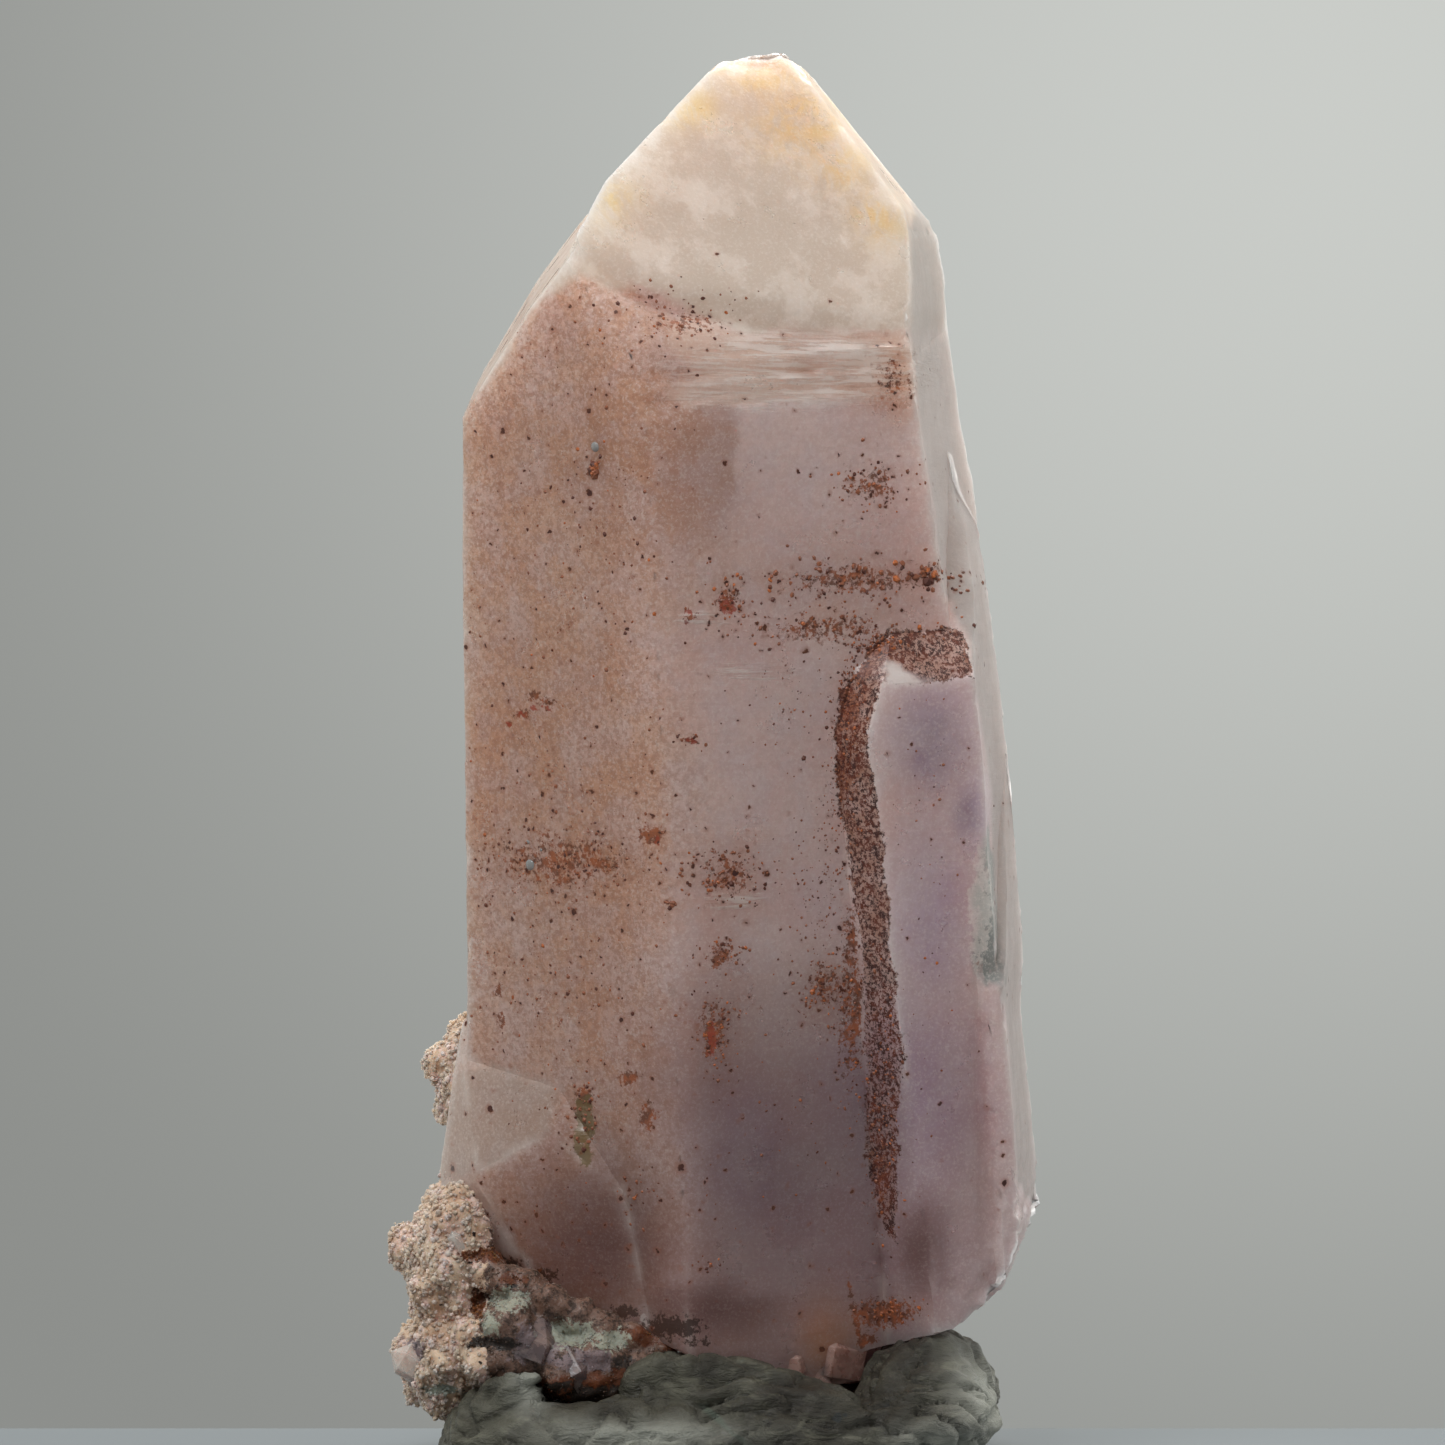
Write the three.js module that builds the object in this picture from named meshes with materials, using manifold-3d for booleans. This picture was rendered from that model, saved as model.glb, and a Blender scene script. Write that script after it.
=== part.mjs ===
// An amethyst point with skeletal growth, a smaller crystal grown into its foot, the host rock that
// both grew on, and the grey mounting putty that holds the specimen upright.
// Millimetres, +Z up. The picture side of the specimen faces -Y, and its right side is +X.

import * as THREE from 'three';
import { ConvexGeometry } from 'three/addons/geometries/ConvexGeometry.js';
import { mergeVertices } from 'three/addons/utils/BufferGeometryUtils.js';
import Module from 'manifold-3d';

const wasm = await Module();
wasm.setup();

// Driving dimensions
const LEAN = 10.5; // degrees that the crystal's long axis leans towards -Y
const AXIS_FOOT = new THREE.Vector3(0.9, 6.3, 0); // where the long axis meets the table
const RHOMB_SLOPE = 38.2; // degrees above the horizon of the normal of a rhombohedral face in quartz
const CLEARANCE = 0.3; // gap kept between the pieces where they touch

// A crystal face is [azimuth, slope, distance]. The azimuth of its normal is in degrees from -Y towards
// +X, the slope is the normal's angle above the horizon, and the distance is that of the face from the
// foot of the long axis. The prism faces go round in steps of about 60 degrees.
const FRONT = [23, 2.7, 10.92];
const LEFT = [-37, 0, 11.03];
const LEFT_BACK = [-93, 0, 12.03];
const BACK = [-157, 0.6, 9.8];
const RIGHT_BACK = [141, 10, 21.28];
const RIGHT_BACK_LOW = [141, 3, 14];
const RIGHT_CORNER = [110, 2.6, 14.42];
const RIGHT = [81, 8.4, 16.37];
const RIGHT_LOW = [81, 5, 14.6];

// Faces of the head, the oldest and highest part of the point
const HEAD_FRONT = [23, 2.7, 10.17];
const HEAD_LEFT = [-37, 0, 10.7];
const HEAD_RIGHT = [81, 3.2, 11.7];
const TIP_FRONT = [23, RHOMB_SLOPE, 39.45];
const TIP_LEFT = [-100.2, RHOMB_SLOPE, 41.22];
const TIP_LEFT_STEEP = [-97, 23.4, 28.74];
const TIP_RIGHT = [86.6, RHOMB_SLOPE, 42.6];
const TIP_RIGHT_BACK = [143, 36.2, 43.25];
const TIP_BACK = [-157, RHOMB_SLOPE, 42.4];
const TIP_LIP_LEFT = [-37, 17.7, 27.49];
const TIP_LIP_CORNER = [16, 7.3, 13.92];
const TIP_LIP_FRONT = [4, 11.9, 19.15];
const TIP_BREAK_LEFT = [-75, 72, 62.36];
const TIP_BREAK_TOP = [30, 84, 65.52];

// The shoulder to the left of the tip, where the outer layers stop
const SHOULDER_LOW = [-90, 31.4, 36.5];
const SHOULDER_HIGH = [-90, 37.3, 40.66];
const SHOULDER_LEDGE = [-90, 62, 54.6];

// Each outer layer is [how far its front face stands behind FRONT, distance of its top face]
const LAYERS = [
  [0.5, 39.15],
  [0.25, 38.7],
  [0, 38.35],
];

// Faces of the block that grew on the right half of the front face
const BLOCK_FRONT = [23, 4.6, 13.61];
const BLOCK_LEFT = [-37, -2.3, 2.24];
const BLOCK_RIGHT = [81, 5.5, 15.4];
const BLOCK_TOP = [23, RHOMB_SLOPE, 32.08];
const BLOCK_CORNER_LOW = [-36.4, 18.3, 14.91];
const BLOCK_CORNER_HIGH = [-24.6, 43.1, 29.97];
const BLOCK_DEPTH = 6.5;

// Faces of the narrow rib at the foot of the block's right edge
const RIB_FRONT = [23, 4.6, 14.06];
const RIB_RIGHT = [81, 4.8, 15.48];
const RIB_LEFT = [-37, 0.3, -0.11];
const RIB_TOP = [23, RHOMB_SLOPE, 24.65];

// Faces of the crystal grown into the left foot of the point
const SIDE_FRONT = [-25.4, 2.9, 11.98];
const SIDE_TOP = [-35.1, 18.5, 16.63];
const SIDE_LEFT = [-56.3, 8.8, 15.78];
const SIDE_LOW = [-46.5, -13.1, 9.53];
const SIDE_RIGHT = [60, 15.8, 4.83];
const SIDE_RIGHT_TOP = [-16.6, 16.8, 15.03];
const SIDE_BACK = [-112, 6.7, 12.69];
const SIDE_UNDER_BACK = [-100, -31.1, 3.47];
const SIDE_UNDER = [-75, -41, 1.94];
const SIDE_DEPTH = 6;

// Faces where the foot of the point is broken off
const BREAK_RIGHT = [80.4, -21.5, 8.85];
const BREAK_RIGHT_LOW = [68.4, -47.6, 2.24];
const BREAK_UNDER_RIGHT = [39.6, -68, -2.94];
const BREAK_UNDER_FRONT = [9.3, -72.5, -2.78];
const BREAK_UNDER_LEFT = [-57.1, -60.5, -3.13];
const BREAK_UNDER_BACK = [-170, -60, -3];
const LOBE_RIGHT = [75, -5.2, 7.25];
const LOBE_DEPTH = 4.5;
const LOBE_TOP = [0, 90, 20];

// Faces of the thicker growth low on the hidden side, and the stepped window sunk into that side.
// Each step of the window is [depth, how far its edges stand in from the edges of the face].
const BACK_LOW = [-157, 1.5, 10.6];
const BACK_LOW_TOP = [-157, RHOMB_SLOPE, 21.6];
const BACK_LOW_INSET = 0.5;
const BACK_LOW_DEPTH = 9;
const WINDOW_STEPS = [
  [0.35, 1.6],
  [0.7, 2.6],
];
const WINDOW_FOOT = 26;

// The rock is a heap of angular chunks, each given as [centre, half its size along x, y and z], with
// smaller chips of the same kind standing out of it all round
const ROCK_CHUNKS = [
  [[-11.9, -0.6, 9.4], [2.8, 5.4, 4.8]],
  [[-12.1, -1.7, 5.3], [2.3, 4.2, 3.1]],
  [[-9.4, -4.5, 6.2], [2.9, 3.2, 2.6]],
  [[-5.6, -5, 5.3], [3.8, 2.8, 1.9]],
  [[-10.8, 4, 17.9], [2.4, 3.2, 3.6]],
  [[-10.2, 5, 11.8], [2.8, 5, 6.8]],
  [[-7.2, 8, 6.6], [5, 5.2, 4.6]],
];
const CHUNK_CORNERS = 32;
const CHUNK_UNEVEN = 0.22; // the most that a corner stands back, as a share of the chunk's half size
const CHIPS_EACH = 12;
const CHIP_CORNERS = 16;
const CHIP_REACH = 0.74; // how far out a chip's centre stands, as a share of the chunk's half size
const CHIP_SIZE = 0.7; // half size of the smallest chip, and half that of the largest

// The putty is a flat core, given as [centre, half size], with soft rolls pressed on all round it.
// Each roll is [one end, the other end, radius].
const PUTTY_CORE = [[0, 0.4, 0.6], [11.8, 9.6, 3.8]];
const PUTTY_ROLLS = [
  [[-10, -5.6, 1.6], [-9.4, 0, 1.6], 2.7],
  [[-10, -6, 3.2], [-8.8, -6.2, 4.6], 1.5],
  [[-8.6, -7, 1.2], [-6, -7.8, 1.2], 2.6],
  [[-6, -7.4, 1.9], [-0.6, -8.4, 1.8], 2.4],
  [[-3, -6.2, 4.2], [6.2, -7.4, 2.4], 2.2],
  [[0, -7.6, 1.2], [7.4, -6.8, 1.4], 2.9],
  [[9.2, -6, 2.6], [10, -0.8, 3.2], 3.2],
  [[9, 1.4, 2.6], [6, 7, 2.2], 3.2],
  [[4.6, 7.6, 1.8], [-4.6, 8, 1.6], 2.8],
  [[-6.2, 7, 1.6], [-9, 1.8, 1.6], 2.8],
];
const PUTTY_UNEVEN = 0.05;
const PUTTY_DETAIL = 4;
const TABLE_SIZE = 80;

function normalOf([azimuth, slope]) {
  const a = THREE.MathUtils.degToRad(azimuth);
  const s = THREE.MathUtils.degToRad(slope);
  return new THREE.Vector3(Math.cos(s) * Math.sin(a), -Math.cos(s) * Math.cos(a), Math.sin(s));
}

// The corners of the space behind every face of the list: each is where three faces meet
function cornersOf(faces) {
  const normals = faces.map(normalOf);
  const corners = [];
  for (let i = 0; i < faces.length; i += 1) {
    for (let j = i + 1; j < faces.length; j += 1) {
      for (let k = j + 1; k < faces.length; k += 1) {
        const jk = normals[j].clone().cross(normals[k]);
        const volume = normals[i].dot(jk);
        if (Math.abs(volume) < 1e-6) continue;
        const corner = jk.multiplyScalar(faces[i][2]);
        corner.addScaledVector(normals[k].clone().cross(normals[i]), faces[j][2]);
        corner.addScaledVector(normals[i].clone().cross(normals[j]), faces[k][2]);
        corner.divideScalar(volume);
        const inside = faces.every((face, n) => normals[n].dot(corner) < face[2] + 1e-6);
        const isNew = corners.every((other) => other.distanceTo(corner) > 1e-4);
        if (inside && isNew) corners.push(corner);
      }
    }
  }
  return corners;
}

function toManifold(geometry) {
  const bare = geometry.clone();
  bare.deleteAttribute('normal');
  bare.deleteAttribute('uv');
  const merged = mergeVertices(bare, 1e-5);
  return new wasm.Manifold(
    new wasm.Mesh({
      numProp: 3,
      vertProperties: new Float32Array(merged.attributes.position.array),
      triVerts: new Uint32Array(merged.index.array),
    }),
  );
}

function toGeometry(solid) {
  const mesh = solid.getMesh();
  const geometry = new THREE.BufferGeometry();
  geometry.setAttribute('position', new THREE.BufferAttribute(mesh.vertProperties, 3));
  geometry.setIndex(new THREE.BufferAttribute(mesh.triVerts, 1));
  return geometry;
}

function union(solids) {
  return solids.reduce((whole, solid) => whole.add(solid));
}

// A convex solid with flat faces, each moved outwards by the given amount
function crystal(faces, grow) {
  const moved = faces.map(([azimuth, slope, distance]) => [azimuth, slope, distance + grow]);
  return toManifold(new ConvexGeometry(cornersOf(moved)));
}

// The face of a cut that closes a grown part inside the point
function hiddenBack(depth, [azimuth, slope, distance]) {
  return [azimuth + 180, -slope, depth - distance];
}

function pointHead(grow) {
  const lefts = [HEAD_LEFT, LEFT_BACK];
  const rights = [HEAD_RIGHT, RIGHT_CORNER, RIGHT_BACK, RIGHT_BACK_LOW];
  const sides = [HEAD_FRONT, BACK, ...lefts, ...rights];
  const tip = [TIP_FRONT, TIP_LEFT, TIP_LEFT_STEEP, TIP_RIGHT, TIP_RIGHT_BACK, TIP_BACK];
  const lips = [TIP_LIP_LEFT, TIP_LIP_CORNER, TIP_LIP_FRONT];
  const breaks = [TIP_BREAK_LEFT, TIP_BREAK_TOP];
  const floor = [0, -90, -30];
  return crystal([...sides, ...tip, ...lips, ...breaks, floor], grow);
}

function pointLayer([setback, topDistance], grow) {
  const front = [FRONT[0], FRONT[1], FRONT[2] - setback];
  const top = [TIP_FRONT[0], RHOMB_SLOPE, topDistance];
  const lefts = [LEFT, LEFT_BACK, SHOULDER_LOW, SHOULDER_HIGH, SHOULDER_LEDGE];
  const rights = [RIGHT, RIGHT_LOW, RIGHT_CORNER, RIGHT_BACK, RIGHT_BACK_LOW];
  const ends = [top, TIP_RIGHT, TIP_RIGHT_BACK, TIP_BACK];
  const breaks = [BREAK_RIGHT, BREAK_RIGHT_LOW, BREAK_UNDER_RIGHT, BREAK_UNDER_LEFT, BREAK_UNDER_BACK];
  return crystal([front, BACK, ...lefts, ...rights, ...ends, ...breaks], grow);
}

function frontBlock(grow) {
  const faces = [BLOCK_FRONT, BLOCK_LEFT, BLOCK_TOP, BLOCK_CORNER_LOW, BLOCK_CORNER_HIGH];
  const rights = [BLOCK_RIGHT, RIGHT_CORNER, RIGHT_BACK_LOW];
  const breaks = [BREAK_RIGHT, BREAK_RIGHT_LOW, BREAK_UNDER_RIGHT];
  return crystal([...faces, ...rights, ...breaks, hiddenBack(BLOCK_DEPTH, BLOCK_FRONT)], grow);
}

function footRib(grow) {
  const faces = [RIB_FRONT, RIB_RIGHT, RIB_LEFT, RIB_TOP, RIGHT_CORNER];
  const breaks = [BREAK_RIGHT, BREAK_RIGHT_LOW, BREAK_UNDER_RIGHT];
  return crystal([...faces, ...breaks, hiddenBack(BLOCK_DEPTH, RIB_FRONT)], grow);
}

// The part of the foot that reaches lowest, to the left of the crack in front
function footLobe(grow) {
  const sides = [FRONT, LEFT, LOBE_RIGHT, hiddenBack(LOBE_DEPTH, FRONT), LOBE_TOP];
  return crystal([...sides, BREAK_UNDER_FRONT, BREAK_UNDER_LEFT], grow);
}

function sideCrystal(grow) {
  const fronts = [SIDE_FRONT, SIDE_TOP, SIDE_LEFT, SIDE_LOW, SIDE_RIGHT, SIDE_RIGHT_TOP];
  const ends = [SIDE_BACK, SIDE_UNDER_BACK, SIDE_UNDER, BREAK_UNDER_LEFT, hiddenBack(SIDE_DEPTH, LEFT)];
  return crystal([...fronts, ...ends], grow);
}

function backGrowth(grow) {
  const inset = ([azimuth, slope, distance]) => [azimuth, slope, distance - BACK_LOW_INSET];
  const faces = [BACK_LOW, BACK_LOW_TOP, inset(LEFT_BACK), inset(RIGHT_BACK_LOW)];
  const ends = [BREAK_UNDER_BACK, BREAK_UNDER_LEFT, hiddenBack(BACK_LOW_DEPTH, BACK_LOW)];
  return crystal([...faces, ...ends], grow);
}

// One step of the window on the hidden side: a thin plate of the face's own outline, cut out of it
function windowStep([depth, inset]) {
  const inwards = ([azimuth, slope, distance]) => [azimuth, slope, distance - inset];
  const edges = [LEFT_BACK, RIGHT_BACK_LOW, TIP_BACK, SHOULDER_HIGH].map(inwards);
  const outside = [BACK[0], BACK[1], BACK[2] + 1];
  const foot = [0, -90, -(WINDOW_FOOT + inset)];
  return crystal([...edges, outside, hiddenBack(depth, BACK), foot], 0);
}

function amethystSolid(grow) {
  const layers = LAYERS.map((layer) => pointLayer(layer, grow));
  const grown = [frontBlock(grow), footRib(grow), footLobe(grow), sideCrystal(grow), backGrowth(grow)];
  return union([pointHead(grow), ...layers, ...grown]);
}

// The crystal's own frame has its long axis upright, so it is leant and set on its foot
function placeCrystal(object) {
  object.rotation.x = THREE.MathUtils.degToRad(LEAN);
  object.position.copy(AXIS_FOOT);
  object.updateMatrix();
}

// The space that the crystal and the gap round it take up, in the specimen's frame
function crystalSpace() {
  const placed = new THREE.Object3D();
  placeCrystal(placed);
  return toManifold(toGeometry(amethystSolid(CLEARANCE)).applyMatrix4(placed.matrix));
}

// Directions spread evenly over a ball by the golden angle
function spread(count) {
  const golden = Math.PI * (3 - Math.sqrt(5));
  return Array.from({ length: count }, (_, i) => {
    const z = 1 - (2 * i + 1) / count;
    const across = Math.sqrt(1 - z * z);
    return new THREE.Vector3(across * Math.cos(golden * i), across * Math.sin(golden * i), z);
  });
}

// A repeatable number between 0 and 1 that looks random
function chance(seed) {
  const value = Math.sin(seed * 12.9898) * 43758.5453;
  return value - Math.floor(value);
}

// An angular chunk: the convex hull of uneven points around its centre
function chunk(centre, half, seed, cornerCount, grow) {
  const corners = spread(cornerCount).map((direction, i) => {
    const reach = 1 - CHUNK_UNEVEN * chance(seed + 7.3 * i);
    const offset = half.map((size, axis) => (size * reach + grow) * direction.getComponent(axis));
    return new THREE.Vector3(...offset).add(centre);
  });
  return toManifold(new ConvexGeometry(corners));
}

function chunkWithChips([centre, half], index, grow) {
  const middle = new THREE.Vector3(...centre);
  const chips = spread(CHIPS_EACH).map((direction, i) => {
    const offset = half.map((size, axis) => CHIP_REACH * size * direction.getComponent(axis));
    const size = CHIP_SIZE * (1 + chance(index + 3.1 * i));
    const place = new THREE.Vector3(...offset).add(middle);
    return chunk(place, [size, size, size], 31 * index + i, CHIP_CORNERS, grow);
  });
  return union([chunk(middle, half, index + 1, CHUNK_CORNERS, grow), ...chips]);
}

function rock(grow) {
  return union(ROCK_CHUNKS.map((entry, i) => chunkWithChips(entry, i, grow)));
}

// A smooth uneven value between about -1 and 1 for a point on a unit ball
function unevenness(point, seed) {
  let total = 0;
  for (let octave = 0; octave < 3; octave += 1) {
    const scale = 2.3 * 1.9 ** octave;
    const wave = Math.sin(scale * point.x + seed) * Math.sin(scale * point.y + 2.1 * seed + octave);
    total += (wave + Math.sin(scale * point.z + 3.7 * seed)) / (2 * 1.5 ** octave);
  }
  return total;
}

// A ball of putty of radius 1, a little uneven
function puttyBall(seed) {
  const geometry = new THREE.IcosahedronGeometry(1, PUTTY_DETAIL);
  const position = geometry.attributes.position;
  const point = new THREE.Vector3();
  for (let i = 0; i < position.count; i += 1) {
    point.fromBufferAttribute(position, i);
    point.multiplyScalar(1 + PUTTY_UNEVEN * unevenness(point, seed));
    position.setXYZ(i, point.x, point.y, point.z);
  }
  return geometry;
}

function puttyCore([centre, half]) {
  return toManifold(puttyBall(0).scale(...half).translate(...centre));
}

function puttyRoll([from, to, radius], index) {
  const start = new THREE.Vector3(...from);
  const along = new THREE.Vector3(...to).sub(start);
  const middle = start.addScaledVector(along, 0.5);
  const geometry = puttyBall(index + 1).scale(along.length() / 2 + radius, radius, radius);
  const turn = new THREE.Quaternion().setFromUnitVectors(new THREE.Vector3(1, 0, 0), along.normalize());
  return toManifold(geometry.applyQuaternion(turn).translate(middle.x, middle.y, middle.z));
}

function puttyRing() {
  return union([puttyCore(PUTTY_CORE), ...PUTTY_ROLLS.map(puttyRoll)]);
}

function boxSolid(size, x, y, z) {
  return toManifold(new THREE.BoxGeometry(size, size, size).translate(x, y, z));
}

function namedMesh(name, solid, color, roughness) {
  const material = new THREE.MeshStandardMaterial({ color, roughness, metalness: 0, flatShading: true });
  const mesh = new THREE.Mesh(toGeometry(solid), material);
  mesh.name = name;
  return mesh;
}

const space = crystalSpace();
const point = WINDOW_STEPS.map(windowStep).reduce((solid, cut) => solid.subtract(cut), amethystSolid(0));
const matrix = rock(0).subtract(space);
const aboveTable = boxSolid(TABLE_SIZE, 0, 0, TABLE_SIZE / 2);
const putty = puttyRing().intersect(aboveTable).subtract(space).subtract(rock(CLEARANCE));

const pointMesh = namedMesh('amethyst_point', point, 0xa98f8a, 0.4);
placeCrystal(pointMesh);

const specimen = new THREE.Group();
specimen.add(pointMesh);
specimen.add(namedMesh('matrix', matrix, 0x9b8468, 0.85));
specimen.add(namedMesh('putty', putty, 0x7f8079, 0.7));

// The origin is under the middle of the specimen, on the table
const middle = new THREE.Box3().setFromObject(specimen, true).getCenter(new THREE.Vector3());
specimen.position.set(-middle.x, -middle.y, 0);

export default specimen;
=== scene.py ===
"""The look of a cloudy amethyst point on a piece of host rock, held upright by grey mounting putty."""

import math

import bmesh
import bpy
import numpy as np
from mathutils import Matrix, Vector, noise
from mathutils.bvhtree import BVHTree
from mathutils.geometry import delaunay_2d_cdt


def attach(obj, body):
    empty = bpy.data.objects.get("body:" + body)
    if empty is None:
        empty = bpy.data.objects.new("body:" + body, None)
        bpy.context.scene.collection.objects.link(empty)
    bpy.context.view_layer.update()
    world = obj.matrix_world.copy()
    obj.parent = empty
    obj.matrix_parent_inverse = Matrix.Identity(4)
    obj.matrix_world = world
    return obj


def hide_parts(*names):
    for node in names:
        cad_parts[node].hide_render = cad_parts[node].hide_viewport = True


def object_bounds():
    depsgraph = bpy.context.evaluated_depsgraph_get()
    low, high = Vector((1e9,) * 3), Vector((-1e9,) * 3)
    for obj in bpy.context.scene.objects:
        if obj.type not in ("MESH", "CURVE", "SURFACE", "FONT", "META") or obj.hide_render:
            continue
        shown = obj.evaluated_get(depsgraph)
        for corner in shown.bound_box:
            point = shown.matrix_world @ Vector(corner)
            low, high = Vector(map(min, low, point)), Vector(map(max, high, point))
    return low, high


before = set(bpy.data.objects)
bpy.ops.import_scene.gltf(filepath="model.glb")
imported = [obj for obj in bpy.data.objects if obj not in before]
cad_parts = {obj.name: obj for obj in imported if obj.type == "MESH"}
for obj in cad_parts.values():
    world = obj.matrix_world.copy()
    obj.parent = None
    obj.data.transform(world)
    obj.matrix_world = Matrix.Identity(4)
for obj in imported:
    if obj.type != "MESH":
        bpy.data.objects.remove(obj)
CAD_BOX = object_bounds()

MM = 0.001

# The photograph's frame: its side in pixels, and the camera that fits the crystal's edges in it
PHOTO_SIZE = 1445
FOCAL_PIXELS = 5616
SENSOR = 36
CAMERA_PLACE = Vector((0.21, -261.77, 34.51)) * MM

# The crystal's own frame: its long axis leans towards -Y, and meets the table at the foot
LEAN = math.radians(10.5)
AXIS_FOOT = Vector((0.69, 4.53, 0)) * MM

# How wide the meshes' cells are, how clear of a facet's edge the spots inside it stay, in cells, how close
# corners of the solids are welded, and how little facets may bend to count as one
CRYSTAL_CELL = 0.3 * MM
ROCK_CELL = 0.2 * MM
PUTTY_CELL = 0.2 * MM
RIM_GAP = 0.55
WELD_DISTANCE = 0.005 * MM
FLAT_ANGLE = math.radians(0.2)

QUARTZ_IOR = 1.544
FLUID_IOR = 1.33

# What starts each draw of random numbers
CRUST_SEED = 5
GRAIN_SEED = 11
FLECK_SEED = 23

# The lumps that make a mark's edge ragged: their size in millimetres, and their share of the reach. Then
# where the edge lies between mark and noise, and how wide and how far round shapes are ruffled.
EDGE_LUMPS = ((1.6, 1.0), (0.6, 0.6))
RAGGED_EDGE = (0.8, 0.9)
RUFFLE_SIZE = 0.25 * MM
RUFFLE_REACH = 0.3 * MM


def smooth_step(low, high, value):
    """0 below low, 1 above high, and a smooth rise between them"""
    t = np.clip((value - low) / (high - low), 0, 1)
    return t * t * (3 - 2 * t)


def noise_at(points, size, seed=0.0):
    """Smooth noise from about -1 to 1, with lumps about as wide as size; size may differ by axis"""
    return np.array([noise.noise(p) for p in (points / np.array(size) + seed).tolist()])


def photo_place(points):
    """Where points, in metres, are seen in the photograph, in its pixels"""
    depth = points[:, 1] - CAMERA_PLACE.y
    across = PHOTO_SIZE / 2 + FOCAL_PIXELS * (points[:, 0] - CAMERA_PLACE.x) / depth
    down = PHOTO_SIZE / 2 - FOCAL_PIXELS * (points[:, 2] - CAMERA_PLACE.z) / depth
    return across, down


def uneven_place(points, reach):
    """Where points are seen in the photograph, each pushed about a little, so that edges come out ragged"""
    across, down = photo_place(points)
    place_mm = points / MM
    for size, share in EDGE_LUMPS:
        across = across + share * reach * noise_at(place_mm, size, 4.2)
        down = down + share * reach * noise_at(place_mm, size, 8.6)
    return across, down


def seen_at(tree, across, down):
    """The point of a surface that the photograph shows at a pixel, and the surface's normal there"""
    ray = Vector((across - PHOTO_SIZE / 2, FOCAL_PIXELS, PHOTO_SIZE / 2 - down)).normalized()
    spot, normal, _, _ = tree.ray_cast(CAMERA_PLACE, ray)
    return spot, normal


def in_crystal_frame(points):
    """Points in the crystal's own frame, in millimetres"""
    turn = np.array(Matrix.Rotation(-LEAN, 3, "X"))
    return (points - np.array(AXIS_FOOT)) @ turn.T / MM


def to_linear(red, green, pale_and_lit):
    """A colour given as on a screen, from 0 to 255, as the renderer's linear values"""
    parts = [v / 255 for v in (red, green, pale_and_lit)]
    return (*(v / 12.92 if v <= 0.04045 else ((v + 0.055) / 1.055) ** 2.4 for v in parts), 1)


# Shader building


class Value:
    """A number or a colour all over a surface. Arithmetic on it makes the shader nodes for the result."""

    def __init__(self, socket):
        self.socket = socket
        self.tree = socket.id_data

    def __add__(self, other):
        return maths("ADD", self, other)

    def __sub__(self, other):
        return maths("SUBTRACT", self, other)

    def __rsub__(self, other):
        return maths("SUBTRACT", other, self)

    def __mul__(self, other):
        return maths("MULTIPLY", self, other)

    def __or__(self, other):
        """The larger of the two, place by place"""
        return maths("MAXIMUM", self, other)

    def other_output(self, name):
        """Another output of the node that this value comes from"""
        return Value(self.socket.node.outputs[name])


def connect(socket, given):
    """Links a value to a node's input, or sets the input to a plain number or colour"""
    if isinstance(given, Value):
        given.tree.links.new(given.socket, socket)
    else:
        socket.default_value = given


def node(tree, kind, inputs, output=0, **settings):
    """An output of a new shader node. Inputs and output go by name or by number."""
    made = tree.nodes.new("ShaderNode" + kind)
    for key, setting in settings.items():
        setattr(made, key, setting)
    for key, given in inputs.items():
        connect(made.inputs[key], given)
    return Value(made.outputs[output])


def maths(operation, first, second):
    tree = first.tree if isinstance(first, Value) else second.tree
    return node(tree, "Math", {0: first, 1: second}, operation=operation)


def as_colour(given):
    """A value as it is, or (red, green, blue) as on a screen turned into a plain colour"""
    return given if isinstance(given, Value) else to_linear(*given)


def blend(factor, first, second):
    """The first colour going to the second as factor goes from 0 to 1"""
    inputs = {0: factor, 6: as_colour(first), 7: as_colour(second)}
    return node(factor.tree, "Mix", inputs, 2, data_type="RGBA")


def rise(value, low, high, bottom=0.0, top=1.0):
    """bottom below low, top above high, and a smooth change between them"""
    inputs = {"Value": value, "From Min": low, "From Max": high, "To Min": bottom, "To Max": top}
    return node(value.tree, "MapRange", inputs, interpolation_type="SMOOTHSTEP")


def bumps(*layers):
    """The normal after layers of (height, depth in millimetres), each over the one before"""
    below = {}
    for height, depth in layers:
        normal = node(height.tree, "Bump", {"Height": height, "Distance": depth * MM, **below})
        below = {"Normal": normal}
    return normal


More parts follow.
